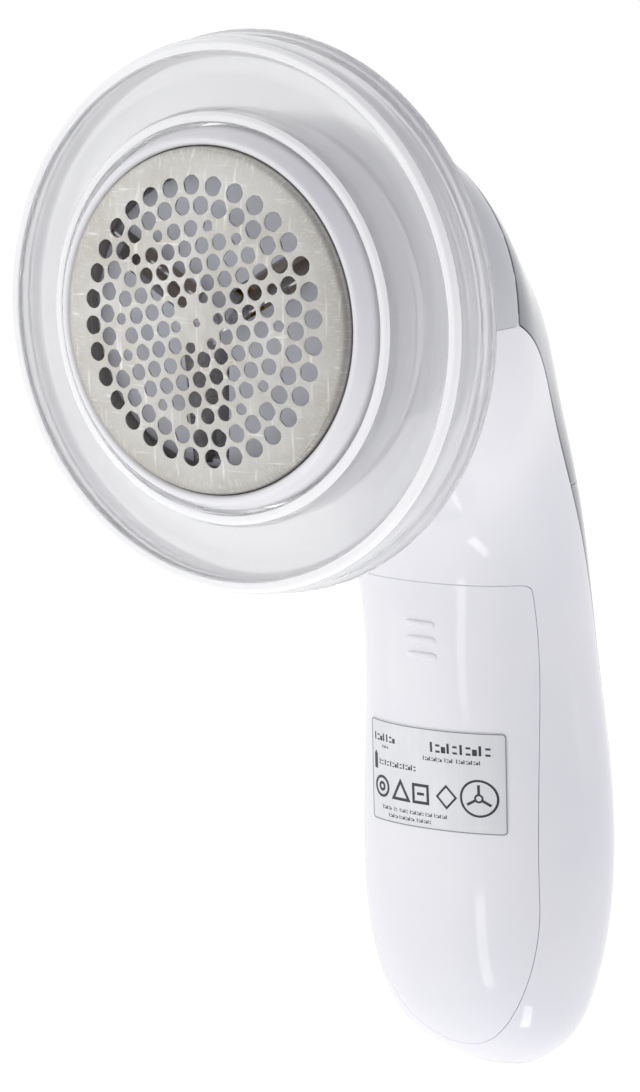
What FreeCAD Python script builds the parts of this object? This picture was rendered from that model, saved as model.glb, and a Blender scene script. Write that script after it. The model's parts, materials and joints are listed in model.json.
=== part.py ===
"""Battery fabric shaver: a round cutting head on a curved handle, as separate pieces.

Working frame of the sub-parts: X to the right, Y back along the head axis from the top of the
foil's dome, Z up, in millimetres.  Every sub-part is then moved by its Placement into the row
frame, whose origin is under the middle of the object, at its lowest point.
"""
import FreeCAD, Part
import math
import os

import Sketcher

os.makedirs("parts", exist_ok=True)
doc = FreeCAD.newDocument("fabric_shaver")
V = FreeCAD.Vector

# ---------------------------------------------------------------- driving dimensions
DIMENSIONS = [
    ("row_depth", 45.09, "dome top to the middle of the depth"),
    ("row_height", 122.5, "head axis above the lowest point"),
    ("wall", 2.0, "casing wall"),
    ("part_gap", 0.3, "gap round a piece that comes off"),
    # foil and its ring
    ("foil_radius", 25.0, "foil outside"),
    ("dome_radius", 149.0, "sphere of the foil face"),
    ("foil_sheet", 0.3, "foil thickness"),
    ("foil_edge", 2.65, "depth of the foil's rolled edge"),
    ("foil_skirt_end", 6.5, "rear end of the foil's skirt"),
    ("hole_pitch", 3.077, "pitch of the hexagonal field of holes"),
    ("hole_rows_turn", 13.1, "turn of the rows of holes, degrees"),
    ("field_hole", 1.157, "radius of a field hole"),
    ("small_hole", 0.805, "radius of a small hole"),
    ("inner_small_circle", 3.83, "circle of the six small holes"),
    ("outer_small_circle", 13.98, "circle of the twelve small holes"),
    ("inner_ring_circle", 16.69, "circle of the inner ring of holes"),
    ("inner_ring_hole", 1.30, "radius of an inner ring hole"),
    ("outer_ring_circle", 19.62, "circle of the outer ring of holes"),
    ("outer_ring_hole", 1.37, "radius of an outer ring hole"),
    ("ring_holes", 32, "holes in each ring"),
    ("ring_lip", 26.5, "radius of the foil ring's lip"),
    ("ring_radius", 27.6, "foil ring outside"),
    ("ring_end", 14.5, "rear end of the foil ring"),
    # clear guard
    ("guard_bore", 28.0, "guard sleeve inside"),
    ("guard_rim", 29.4, "guard rim outside"),
    ("guard_front", 5.15, "depth of the guard's inner rim"),
    ("cone_radius", 35.2, "outer radius of the guard's cone"),
    ("cone_end", 9.35, "depth of the cone's outer edge"),
    ("lip_inside", 38.1, "inside radius of the outer lip"),
    ("lip_outside", 39.7, "outside radius of the outer lip"),
    ("lip_front", 7.6, "depth of the outer lip's crest"),
    ("skirt_radius", 40.3, "guard outer wall"),
    ("flange_radius", 40.8, "guard rear flange"),
    ("guard_sheet", 1.6, "guard wall thickness"),
    ("guard_end", 16.1, "rear end of the guard"),
    # cutting chamber
    ("neck_bore", 23.6, "chamber inside"),
    ("neck_radius", 25.6, "chamber neck outside"),
    ("neck_front", 8.6, "front end of the neck"),
    ("floor_front", 15.4, "front face of the chamber floor"),
    ("casing_front", 17.0, "front end of the casing"),
    ("base_radius", 27.5, "chamber flange"),
    ("spigot_radius", 25.2, "spigot inside the casing"),
    ("window_width", 16.0, "width of the lint way"),
    ("window_low", 13.4, "low edge of the lint way"),
    ("window_high", 20.0, "high edge of the lint way"),
    ("floor_bore", 3.2, "hole in the chamber floor for the motor's neck"),
    ("spigot_length", 3.0, "length of the spigot"),
    ("spigot_sheet", 1.4, "spigot thickness"),
    ("post_radius", 2.4, "motor posts"),
    ("post_length", 10.0, "length of the motor posts"),
    ("pilot_radius", 0.85, "pilot holes of the motor posts"),
    ("duct_sheet", 1.0, "lint duct wall"),
    ("duct_end", 39.6, "rear end of the lint duct"),
    # rotor
    ("shaft_radius", 1.0, "motor shaft"),
    ("carrier_radius", 21.5, "blade carrier"),
    ("carrier_front", 4.4, "front face of the blade carrier"),
    ("carrier_sheet", 1.8, "thickness of the carrier disc"),
    ("slot_width", 5.0, "width of a blade slot"),
    ("slot_inner", 3.6, "inner end of a blade slot"),
    ("slot_outer", 20.0, "outer end of a blade slot"),
    ("blade_sheet", 0.35, "blade thickness"),
    ("blade_height", 4.6, "blade width across"),
    ("blade_tilt", 32.0, "blade lean, degrees"),
    ("carrier_hub_radius", 4.0, "hub of the blade carrier"),
    ("carrier_hub_length", 3.4, "carrier front to the rear of its hub"),
    ("drive_radius", 3.0, "drive hub"),
    ("collar_radius", 4.6, "collar of the drive hub"),
    ("collar_front", 9.4, "front of the collar"),
    ("fan_hub_front", 10.4, "rear of the collar, where the fan's hub starts"),
    ("fan_hub_radius", 4.5, "hub of the fan"),
    ("fan_front", 13.2, "front face of the fan's disc"),
    ("fan_end", 14.4, "rear face of the fan's disc"),
    ("impeller_radius", 21.5, "fan outside"),
    ("vane_count", 8, "vanes of the fan"),
    ("vane_inner", 4.8, "inner end of a vane"),
    ("vane_front", 9.8, "front edge of a vane"),
    ("vane_depth", 3.6, "vane from front to back"),
    ("vane_sheet", 1.0, "vane thickness"),
    # motor
    ("motor_front", 18.5, "front of the motor can"),
    ("motor_end", 35.5, "rear of the motor can"),
    ("motor_radius", 10.2, "motor can outside"),
    ("can_sheet", 0.8, "motor can thickness"),
    ("cap_end", 38.0, "rear of the motor's end cap"),
    ("cap_gap", 0.1, "end cap inside the can"),
    ("can_neck_radius", 3.1, "neck of the can, in the chamber floor"),
    ("bush_radius", 2.5, "front bush outside"),
    ("bush_end", 20.5, "rear end of the front bush"),
    ("running_gap", 0.04, "shaft in its bush and end cap"),
    ("magnet_outer", 9.35, "magnets outside"),
    ("magnet_inner", 7.7, "magnets inside"),
    ("magnet_front", 21.0, "front of the magnets"),
    ("magnet_end", 33.5, "rear of the magnets"),
    ("core_radius", 7.2, "armature core"),
    ("core_front", 22.8, "front of the core"),
    ("core_end", 31.8, "rear of the core"),
    ("core_slot_width", 1.2, "slots of the core"),
    ("core_slot_inner", 3.4, "inner end of a core slot"),
    ("winding_inner", 1.6, "windings inside"),
    ("winding_outer", 6.4, "windings outside"),
    ("winding_front", 20.9, "front of the front windings"),
    ("winding_end", 33.2, "rear of the rear windings"),
    ("commutator_radius", 2.2, "commutator"),
    ("commutator_front", 33.3, "front of the commutator"),
    ("commutator_end", 35.3, "rear of the commutator"),
    ("bracket_radius", 12.2, "motor bracket ring"),
    ("bracket_sheet", 1.6, "motor bracket thickness"),
    ("bracket_width", 6.4, "width of the bracket's ears"),
    ("bracket_hole", 0.95, "radius of the bracket's screw holes"),
    ("post_offset", 14.0, "motor bracket screw, from the axis"),
    ("motor_screw_radius", 0.8, "motor screw shank"),
    ("motor_head_radius", 1.7, "motor screw head"),
    ("screw_head_height", 1.3, "height of every screw head"),
    # casing seams
    ("seam_depth", 41.0, "head cover to lint bin seam"),
    ("seam_low", -2.5, "lower edge of the head cover"),
    ("bin_floor_end", -30.0, "bottom of the lint bin"),
    ("rear_cover_end", -104.0, "bottom of the rear cover"),
    ("door_half_width", 16.0, "battery door half width"),
    ("door_top", -44.4, "battery door top edge"),
    ("door_round_start", -93.0, "where the door's round end starts"),
    ("door_round_length", 25.0, "length of the door's round end"),
    ("door_depth", 70.0, "deepest point of the battery door"),
    ("door_wall", 1.5, "battery door thickness"),
    ("ridge_width", 5.3, "grip ridges of the battery door"),
    ("ridge_height", 1.2, "grip ridge from top to bottom"),
    ("ridge_top", -51.1, "middle of the top ridge"),
    ("ridge_pitch", 2.45, "ridge to ridge"),
    ("ridge_rise", 0.45, "ridge above the door"),
    # batteries and switch
    ("cell_radius", 7.25, "AA cell radius"),
    ("cell_length", 49.3, "AA cell without its button"),
    ("cell_offset", 7.5, "cell axis from the middle"),
    ("cell_depth", 71.2, "depth of the cell axes"),
    ("tray_top", -47.6, "upper inside end of the tray"),
    ("tray_bottom", -103.2, "lower inside end of the tray"),
    ("tray_back", 78.6, "back of the battery space"),
    ("tray_sheet", 1.2, "tray roof and floor"),
    ("tray_wall", 0.9, "tray back wall"),
    ("switch_depth", 79.5, "front of the slide switch"),
    ("switch_low", -56.5, "low end of the slide switch"),
    ("switch_high", -43.5, "high end of the slide switch"),
    ("switch_width", 9.0, "width of the slide switch"),
    ("switch_back", 83.4, "rear face of the slide switch"),
    ("pad_width", 9.5, "switch button across"),
    ("pad_low", -58.0, "low edge of the switch button"),
    ("pad_height", 16.0, "length of the switch button"),
    ("pad_rise", 2.3, "switch button above the rear cover"),
    ("stem_low", -52.4, "low side of the button's stem"),
    ("stem_height", 2.9, "button's stem from top to bottom"),
    ("stem_width", 2.6, "button's stem across"),
    ("stem_gap", 0.5, "play round the stem in its slot"),
    ("switch_travel", 5.0, "travel of the switch button"),
    ("label_width", 24.8, "rating label width"),
    ("label_top", -67.2, "rating label top edge"),
    ("label_height", 15.9, "rating label height"),
    ("label_rise", 0.17, "rating label above the door"),
]

sheet = doc.addObject("Spreadsheet::Sheet", "dims")
for row, (alias, value, note) in enumerate(DIMENSIONS, start=1):
    sheet.set(f"A{row}", note)
    sheet.set(f"B{row}", str(value))
    sheet.setAlias(f"B{row}", alias)
doc.recompute()


def dim(alias):
    """Value of one driving dimension."""
    return float(getattr(sheet, alias))


# ---------------------------------------------------------------- building blocks
finished = []


def bind(obj, **sizes):
    """Bind properties to expressions; Base_x means Placement.Base.x."""
    for name, expression in sizes.items():
        path = "Placement.Base." + name[-1] if name.startswith("Base_") else name
        obj.setExpression(path, str(expression))
    return obj


def finish(obj, label):
    """Name a sub-part and place it in the row frame."""
    obj.Label = label
    bind(obj, Base_y="-dims.row_depth", Base_z="dims.row_height")
    finished.append(obj)
    return obj


def rod(name, radius, start, length, x="0", z="0"):
    """Cylinder along Y from depth start."""
    cylinder = doc.addObject("Part::Cylinder", name)
    cylinder.Placement.Rotation = FreeCAD.Rotation(V(1, 0, 0), -90)
    return bind(cylinder, Radius=radius, Height=length, Base_x=x, Base_y=start, Base_z=z)


def post(name, radius, start, length, x="0", y="0"):
    """Cylinder along Z from height start."""
    cylinder = doc.addObject("Part::Cylinder", name)
    return bind(cylinder, Radius=radius, Height=length, Base_x=x, Base_y=y, Base_z=start)


def block(name, width, y_low, depth, z_low, height, x_middle="0"):
    """Box, centred on x_middle across X."""
    box = doc.addObject("Part::Box", name)
    low = f"({x_middle}) - ({width}) / 2"
    return bind(box, Length=width, Width=depth, Height=height, Base_x=low, Base_y=y_low, Base_z=z_low)


def fuse(name, *shapes):
    """One piece from several."""
    result = doc.addObject("Part::MultiFuse", name)
    result.Shapes = list(shapes)
    return result


def common(name, *shapes):
    """What the shapes share."""
    result = doc.addObject("Part::MultiCommon", name)
    result.Shapes = list(shapes)
    return result


def cut(name, base, *tools):
    """Base with every tool taken away."""
    for number, tool in enumerate(tools, start=1):
        last = number == len(tools)
        step = doc.addObject("Part::Cut", name if last else f"{name}_step{number}")
        step.Base = base
        step.Tool = tool
        base = step
    return base


def group(name, *shapes):
    """Separate solids that share one node."""
    result = doc.addObject("Part::Compound", name)
    result.Links = list(shapes)
    return result


def plain(name, shape):
    """A shape worked out in this file, as a document object."""
    feature = doc.addObject("Part::Feature", name)
    feature.Shape = shape
    return feature


def turned(name, outline):
    """Body turned about the head axis from an outline of (radius, depth) expressions."""
    body = doc.addObject("PartDesign::Body", name)
    sketch = body.newObject("Sketcher::SketchObject", name + "_outline")
    plane = [f for f in body.Origin.OriginFeatures if f.Role == "XY_Plane"][0]
    sketch.AttachmentSupport = [(plane, "")]
    sketch.MapMode = "FlatFace"
    count = len(outline)
    turn = 2 * math.pi / count
    guess = [V(40 + 20 * math.cos(i * turn), 20 + 20 * math.sin(i * turn), 0) for i in range(count)]
    for i in range(count):
        sketch.addGeometry(Part.LineSegment(guess[i], guess[(i + 1) % count]), False)
    for i in range(count):
        sketch.addConstraint(Sketcher.Constraint("Coincident", i, 2, (i + 1) % count, 1))
    for i, (radius, depth) in enumerate(outline):
        for kind, axis, expression, value in (
            ("DistanceX", -2, radius, guess[i].x),
            ("DistanceY", -1, depth, guess[i].y),
        ):
            if expression == "0":
                sketch.addConstraint(Sketcher.Constraint("PointOnObject", i, 1, axis))
                continue
            number = sketch.addConstraint(Sketcher.Constraint(kind, -1, 1, i, 1, value))
            sketch.renameConstraint(number, f"{kind[-1].lower()}_{i}")
            sketch.setExpression(f"Constraints.{kind[-1].lower()}_{i}", expression)
    revolution = body.newObject("PartDesign::Revolution", name + "_turn")
    revolution.Profile = sketch
    revolution.ReferenceAxis = (sketch, ["V_Axis"])
    revolution.Angle = 360
    return body


# ---------------------------------------------------------------- outer form of the casing
# Stations from the head down to the handle's tip: front point, back point (depth, height) and
# half width.  The section at each station is a rounded oval in the plane of its two points.
STATIONS = [
    ((17.0, -27.5), (17.0, 27.5), 27.5),
    ((27.0, -27.8), (28.0, 27.4), 27.9),
    ((36.0, -29.0), (41.3, 24.8), 27.8),
    ((45.0, -33.0), (52.0, 15.5), 25.4),
    ((51.0, -38.5), (63.6, 6.0), 21.6),
    ((54.5, -45.0), (73.0, -8.5), 18.9),
    ((56.2, -54.0), (82.0, -28.0), 17.8),
    ((57.6, -66.0), (87.4, -55.0), 18.3),
    ((58.8, -80.0), (90.0, -78.0), 19.9),
    ((59.8, -95.0), (89.6, -97.0), 19.9),
    ((62.0, -107.5), (87.4, -110.0), 17.5),
    ((67.5, -117.0), (84.4, -118.0), 12.6),
    ((75.0, -122.0), (82.0, -122.5), 5.0),
]
SECTION_POWER = 2.15
SECTION_POINTS = 20


def section_points(front, back, half_width, inset):
    """Points round one section, drawn inwards by inset."""
    middle = V(0, (front[0] + back[0]) / 2, (front[1] + back[1]) / 2)
    across = V(0, (back[0] - front[0]) / 2, (back[1] - front[1]) / 2)
    across = across * ((across.Length - inset) / across.Length)
    points = []
    for i in range(SECTION_POINTS):
        angle = 2 * math.pi * i / SECTION_POINTS
        side = math.copysign(abs(math.sin(angle)) ** (2 / SECTION_POWER), math.sin(angle))
        along = math.copysign(abs(math.cos(angle)) ** (2 / SECTION_POWER), math.cos(angle))
        points.append(middle + V((half_width - inset) * side, 0, 0) + across * along)
    return points


def skin(stations, inset):
    """Solid whose smooth side passes through every section, closed by flat ends."""
    steps = [float(i) for i in range(SECTION_POINTS + 1)]
    rings = []
    for front, back, half_width in stations:
        ring = Part.BSplineCurve()
        points = section_points(front, back, half_width, inset)
        ring.interpolate(Points=points, PeriodicFlag=True, Parameters=steps)
        rings.append(ring)
    middles = [V(0, front[0] + back[0], front[1] + back[1]) * 0.5 for front, back, half in stations]
    places = [0.0]
    for before, after in zip(middles, middles[1:]):
        places.append(places[-1] + (after - before).Length + 2.0)
    rows = []
    for pole in range(1, rings[0].NbPoles + 1):
        row = Part.BSplineCurve()
        row.interpolate(Points=[ring.getPole(pole) for ring in rings], Parameters=places)
        rows.append(row)
    surface = Part.BSplineSurface()
    surface.buildFromPolesMultsKnots(
        [row.getPoles() for row in rows], rings[0].getMultiplicities(), rows[0].getMultiplicities(),
        rings[0].getKnots(), rows[0].getKnots(), True, False, rings[0].Degree, rows[0].Degree)
    side = surface.toShape()
    ends = [Part.Face(Part.Wire([edge])) for edge in side.Edges if edge.isClosed()]
    shell = Part.makeShell([side] + ends)
    shell.sewShape()
    solid = Part.makeSolid(shell)
    if solid.Volume < 0:
        solid.reverse()
    return solid


def form(name, inset):
    """Solid of the casing's outer form, smaller by inset on every side but the open front."""
    stations = list(STATIONS)
    if inset > 0:
        stations.pop()
        front, back, half_width = stations[-1]
        stations[-1] = ((front[0], front[1] + inset), (back[0], back[1] + inset), half_width)
        front, back, half_width = stations[0]
        stations[0] = ((front[0] - 1.0, front[1]), (back[0] - 1.0, back[1]), half_width)
    return plain(name, skin(stations, inset))


# Lower edge of the lint bin and of the rear cover: one sweep from the side seam down the handle.
REAR_EDGE = [(41.2, -2.4), (50.4, -7.2), (60.4, -16.6), (69.0, -28.5), (76.0, -43.0), (80.5, -62.0),
             (82.6, -84.0), (83.6, -106.0)]
FAR = 110.0


def rear_region(name, gap, front_gap, low):
    """Prism behind the rear edge, drawn in by gap and cut off below the height low."""
    lean = gap * math.sqrt(0.5)
    edge = [V(-FAR / 2, y + lean, z + lean) for y, z in REAR_EDGE]
    edge[0].y = REAR_EDGE[0][0] + front_gap
    curve = Part.BSplineCurve()
    curve.interpolate(Points=edge)
    corners = [edge[-1], V(-FAR / 2, FAR, edge[-1].z), V(-FAR / 2, FAR, FAR / 2)]
    corners += [V(-FAR / 2, edge[0].y, FAR / 2), edge[0]]
    wire = Part.Wire([curve.toShape()] + Part.makePolygon(corners).Edges)
    prism = Part.Face(wire).extrude(V(FAR, 0, 0))
    keep = Part.makeBox(FAR, FAR, 2 * FAR, V(-FAR / 2, 0, low))
    return plain(name, prism.common(keep))


def door_region(name, inset):
    """Prism through the handle's front for the battery door: straight sides and a round end."""
    half = dim("door_half_width") - inset
    top = dim("door_top") - inset
    start = dim("door_round_start")
    length = dim("door_round_length") - inset
    y = 40.0
    corner = 2.2
    bevel = corner * (1 - math.sqrt(0.5))
    right = Part.Arc(V(half, y, top - corner), V(half - bevel, y, top - bevel), V(half - corner, y, top))
    left = Part.Arc(V(corner - half, y, top), V(bevel - half, y, top - bevel), V(-half, y, top - corner))
    ellipse = Part.Ellipse(V(0, y, start - length), V(half, y, start), V(0, y, start))
    edges = [
        Part.LineSegment(V(half, y, start), V(half, y, top - corner)).toShape(),
        right.toShape(),
        Part.LineSegment(V(half - corner, y, top), V(corner - half, y, top)).toShape(),
        left.toShape(),
        Part.LineSegment(V(-half, y, top - corner), V(-half, y, start)).toShape(),
        Part.ArcOfEllipse(ellipse, -math.pi / 2, math.pi / 2).toShape(),
    ]
    wire = Part.Wire(Part.__sortEdges__(edges))
    return plain(name, Part.Face(wire).extrude(V(0, dim("door_depth") - y, 0)))


# ---------------------------------------------------------------- cutting head
def dome_depth(radius, behind=0.0):
    """Depth of the foil's dome at a radius."""
    sphere = dim("dome_radius")
    return sphere - math.sqrt(sphere ** 2 - radius ** 2) + behind


def foil_blank():
    """Domed sheet with a rolled edge and a short skirt, without its holes."""
    skirt = dim("foil_radius")
    thick = dim("foil_sheet")
    end = dim("foil_skirt_end")
    roll = 0.75
    outer_rim = skirt - roll
    inner_rim = outer_rim - thick / 2

    def dome(radius, back):
        return Part.Arc(V(0, back, 0), V(radius / 2, dome_depth(radius / 2, back), 0),
                        V(radius, dome_depth(radius, back), 0)).toShape()

    def line(start, stop):
        return Part.LineSegment(start, stop).toShape()

    outer_top = V(outer_rim, dome_depth(outer_rim), 0)
    outer_side = V(skirt, dim("foil_edge") + roll / 2, 0)
    outer_mid = V(skirt - roll * 0.25, dim("foil_edge") - roll * 0.12, 0)
    inner_top = V(inner_rim, dome_depth(inner_rim, thick), 0)
    inner_side = V(skirt - thick, dim("foil_edge") + roll, 0)
    edges = [
        dome(outer_rim, 0.0),
        Part.Arc(outer_top, outer_mid, outer_side).toShape(),
        line(outer_side, V(skirt, end, 0)),
        line(V(skirt, end, 0), V(skirt - thick, end, 0)),
        line(V(skirt - thick, end, 0), inner_side),
        line(inner_side, inner_top),
        dome(inner_rim, thick),
        line(V(0, thick, 0), V(0, 0, 0)),
    ]
    face = Part.Face(Part.Wire(Part.__sortEdges__(edges)))
    return plain("foil_blank", face.revolve(V(0, 0, 0), V(0, 1, 0), 360))


def hole_places():
    """Every hole of the foil as (x, z, radius)."""
    pitch = dim("hole_pitch")
    turn = math.radians(dim("hole_rows_turn"))
    near = 1.05 * pitch
    far = 4.4 * pitch
    field = dim("field_hole")
    small = dim("small_hole")
    places = [(0.0, 0.0, small)]
    for a in range(-6, 7):
        for b in range(-6, 7):
            radius = pitch * math.sqrt(a * a + a * b + b * b)
            angle = math.atan2(b * math.sqrt(0.75), a + b / 2) + turn
            spread = abs(radius / pitch - math.sqrt(21)) < 0.01
            if radius < near and radius > 0:
                radius, size = dim("inner_small_circle"), small
            elif spread:
                radius, size = dim("outer_small_circle"), small
            elif near <= radius <= far:
                size = field
            else:
                continue
            places.append((radius * math.cos(angle), radius * math.sin(angle), size))
    count = int(dim("ring_holes"))
    for half_steps, circle, size in ((0, "inner_ring_circle", "inner_ring_hole"),
                                     (1, "outer_ring_circle", "outer_ring_hole")):
        for i in range(count):
            angle = 2 * math.pi * (i + half_steps / 2) / count
            places.append((dim(circle) * math.cos(angle), dim(circle) * math.sin(angle), dim(size)))
    return places


def hole_tools():
    """Punches for the foil's holes."""
    punch_length = 5.0
    punches = [Part.makeCylinder(size, punch_length, V(x, -1, z), V(0, 1, 0)) for x, z, size in hole_places()]
    return plain("hole_punches", Part.makeCompound(punches))


finish(cut("foil", foil_blank(), hole_tools()), "foil")

finish(turned("foil_ring", [
    ("dims.foil_radius + 0.1", "dims.foil_edge + 0.4"),
    ("dims.foil_radius + 0.5", "dims.foil_edge"),
    ("dims.ring_lip - 0.4", "dims.foil_edge"),
    ("dims.ring_lip", "dims.foil_edge + 0.4"),
    ("dims.ring_lip + 0.2", "dims.foil_edge + 1.2"),
    ("dims.ring_radius", "dims.foil_edge + 2.8"),
    ("dims.ring_radius", "dims.ring_end"),
    ("dims.neck_radius + dims.part_gap", "dims.ring_end"),
    ("dims.neck_radius + dims.part_gap", "dims.neck_front - dims.part_gap"),
    ("dims.foil_radius - 1.1", "dims.neck_front - dims.part_gap"),
    ("dims.foil_radius - 1.1", "dims.foil_skirt_end"),
    ("dims.foil_radius + 0.1", "dims.foil_skirt_end"),
]), "foil_ring")

finish(turned("guard", [
    ("dims.guard_bore", "dims.guard_front + 0.4"),
    ("dims.guard_bore + 0.4", "dims.guard_front"),
    ("dims.guard_rim - 0.3", "dims.guard_front"),
    ("dims.guard_rim", "dims.guard_front + 0.3"),
    ("dims.cone_radius", "dims.cone_end"),
    ("dims.lip_inside - 0.8", "dims.cone_end - 0.1"),
    ("dims.lip_inside - 0.2", "dims.cone_end - 0.6"),
    ("dims.lip_inside", "dims.lip_front + 0.2"),
    ("dims.lip_inside + 0.3", "dims.lip_front"),
    ("dims.lip_outside - 0.3", "dims.lip_front"),
    ("dims.lip_outside", "dims.lip_front + 0.5"),
    ("dims.skirt_radius", "dims.lip_front + 2.2"),
    ("dims.skirt_radius", "dims.guard_end - 4.8"),
    ("dims.skirt_radius - 0.4", "dims.guard_end - 4.2"),
    ("dims.skirt_radius - 0.4", "dims.guard_end - 3.2"),
    ("dims.skirt_radius", "dims.guard_end - 2.6"),
    ("dims.flange_radius", "dims.guard_end - 1.2"),
    ("dims.flange_radius", "dims.guard_end"),
    ("dims.skirt_radius - dims.guard_sheet", "dims.guard_end"),
    ("dims.skirt_radius - dims.guard_sheet", "dims.cone_end + dims.guard_sheet"),
    ("dims.cone_radius - 0.6", "dims.cone_end + dims.guard_sheet"),
    ("dims.guard_rim", "dims.guard_front + dims.guard_sheet + 0.9"),
    ("dims.guard_rim", "dims.ring_end - 1.5"),
    ("dims.guard_bore", "dims.ring_end - 1.5"),
]), "guard")


# ---------------------------------------------------------------- cutting chamber
chamber = turned("chamber_turned", [
    ("dims.floor_bore", "dims.floor_front"),
    ("dims.neck_bore", "dims.floor_front"),
    ("dims.neck_bore", "dims.neck_front"),
    ("dims.neck_radius", "dims.neck_front"),
    ("dims.neck_radius", "dims.ring_end + dims.part_gap"),
    ("dims.base_radius", "dims.ring_end + dims.part_gap"),
    ("dims.base_radius", "dims.casing_front"),
    ("dims.spigot_radius", "dims.casing_front"),
    ("dims.spigot_radius", "dims.casing_front + dims.spigot_length"),
    ("dims.spigot_radius - dims.spigot_sheet", "dims.casing_front + dims.spigot_length"),
    ("dims.spigot_radius - dims.spigot_sheet", "dims.casing_front"),
    ("dims.floor_bore", "dims.casing_front"),
])
POSTS = [("left", "-dims.post_offset"), ("right", "dims.post_offset")]
bosses = [rod(f"boss_{side}", "dims.post_radius", "dims.casing_front - 0.5", "dims.post_length + 0.5", x=x)
          for side, x in POSTS]
pilots = [rod(f"pilot_{side}", "dims.pilot_radius", "dims.casing_front + 1", "dims.post_length", x=x)
          for side, x in POSTS]
window = block("window", "dims.window_width", "dims.floor_front - 1", "4", "dims.window_low",
               "dims.window_high - dims.window_low")
finish(cut("chamber_base", fuse("chamber_solid", chamber, *bosses), window, *pilots), "chamber_base")

duct_outer = block("duct_outer", "dims.window_width + 2 * dims.duct_sheet",
                   "dims.casing_front", "dims.duct_end - dims.casing_front",
                   "dims.window_low - dims.duct_sheet",
                   "dims.window_high - dims.window_low + 2 * dims.duct_sheet")
duct_inner = block("duct_inner", "dims.window_width", "dims.casing_front - 1", "25", "dims.window_low",
                   "dims.window_high - dims.window_low")
finish(cut("lint_duct", duct_outer, duct_inner), "lint_duct")


# ---------------------------------------------------------------- rotor
def spread_round(name, shape, count, first_angle):
    """Copies of a radial piece round the head axis, as a compound."""
    copies = []
    for i in range(count):
        angle = first_angle + 360.0 * i / count
        turned_copy = shape.copy()
        turned_copy.rotate(V(0, 0, 0), V(0, 1, 0), -angle)
        copies.append(turned_copy)
    return plain(name, Part.makeCompound(copies))


ARM_COUNT = 3
FIRST_ARM = -90.0

carrier_disc = turned("carrier_disc", [
    ("dims.shaft_radius", "dims.carrier_front"),
    ("dims.carrier_radius - 0.5", "dims.carrier_front"),
    ("dims.carrier_radius", "dims.carrier_front + 0.5"),
    ("dims.carrier_radius", "dims.carrier_front + dims.carrier_sheet"),
    ("dims.carrier_hub_radius", "dims.carrier_front + dims.carrier_sheet"),
    ("dims.carrier_hub_radius", "dims.carrier_front + dims.carrier_hub_length"),
    ("dims.shaft_radius", "dims.carrier_front + dims.carrier_hub_length"),
])
slot_length = dim("slot_outer") - dim("slot_inner")
slot_box = Part.makeBox(slot_length, 6, dim("slot_width"),
                        V(dim("slot_inner"), dim("carrier_front") - 2, -dim("slot_width") / 2))
slots = spread_round("blade_slots", slot_box, ARM_COUNT, FIRST_ARM)
finish(cut("blade_carrier", carrier_disc, slots), "blade_carrier")


def blade_plate():
    """One straight blade along X: its front edge just behind the foil's dome."""
    overlap = 0.5
    clearance = 0.45
    start = dim("slot_inner") - overlap
    stop = dim("slot_outer") + overlap
    back = dim("blade_height")
    front_in = dome_depth(start, dim("foil_sheet")) + clearance
    front_out = dome_depth(stop, dim("foil_sheet")) + clearance
    pivot = V(0, (dim("carrier_front") + dim("carrier_sheet") / 2), 0)
    lean = 1 / math.cos(math.radians(dim("blade_tilt")))
    low = pivot.y + back / 2
    points = [
        V(start, pivot.y - (pivot.y - front_in) * lean, 0),
        V(stop, pivot.y - (pivot.y - front_out) * lean, 0),
        V(stop, low, 0),
        V(start, low, 0),
    ]
    points.append(points[0])
    plate = Part.Face(Part.makePolygon(points)).extrude(V(0, 0, dim("blade_sheet")))
    plate.translate(V(0, 0, -dim("blade_sheet") / 2))
    plate.rotate(pivot, V(1, 0, 0), dim("blade_tilt"))
    return plate


finish(spread_round("blades", blade_plate(), ARM_COUNT, FIRST_ARM), "blades")

finish(turned("drive_hub", [
    ("dims.shaft_radius", "dims.carrier_front + dims.carrier_hub_length"),
    ("dims.drive_radius", "dims.carrier_front + dims.carrier_hub_length"),
    ("dims.drive_radius", "dims.collar_front"),
    ("dims.collar_radius", "dims.collar_front"),
    ("dims.collar_radius", "dims.fan_hub_front"),
    ("dims.shaft_radius", "dims.fan_hub_front"),
]), "drive_hub")

fan_disc = turned("fan_disc", [
    ("dims.shaft_radius", "dims.fan_hub_front"),
    ("dims.fan_hub_radius", "dims.fan_hub_front"),
    ("dims.fan_hub_radius", "dims.fan_front"),
    ("dims.impeller_radius", "dims.fan_front"),
    ("dims.impeller_radius", "dims.fan_end"),
    ("dims.shaft_radius", "dims.fan_end"),
])
vane_length = dim("impeller_radius") - dim("vane_inner") - 0.2
vane_box = Part.makeBox(vane_length, dim("vane_depth"), dim("vane_sheet"),
                        V(dim("vane_inner"), dim("vane_front"), -dim("vane_sheet") / 2))
vanes = spread_round("vanes", vane_box, int(dim("vane_count")), 0.0)
finish(fuse("impeller", fan_disc, vanes), "impeller")

finish(turned("motor_shaft", [
    ("0", "dims.carrier_front - 1"),
    ("dims.shaft_radius - 0.2", "dims.carrier_front - 1"),
    ("dims.shaft_radius", "dims.carrier_front - 0.8"),
    ("dims.shaft_radius", "dims.cap_end - 0.4"),
    ("0", "dims.cap_end - 0.4"),
]), "motor_shaft")


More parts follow.
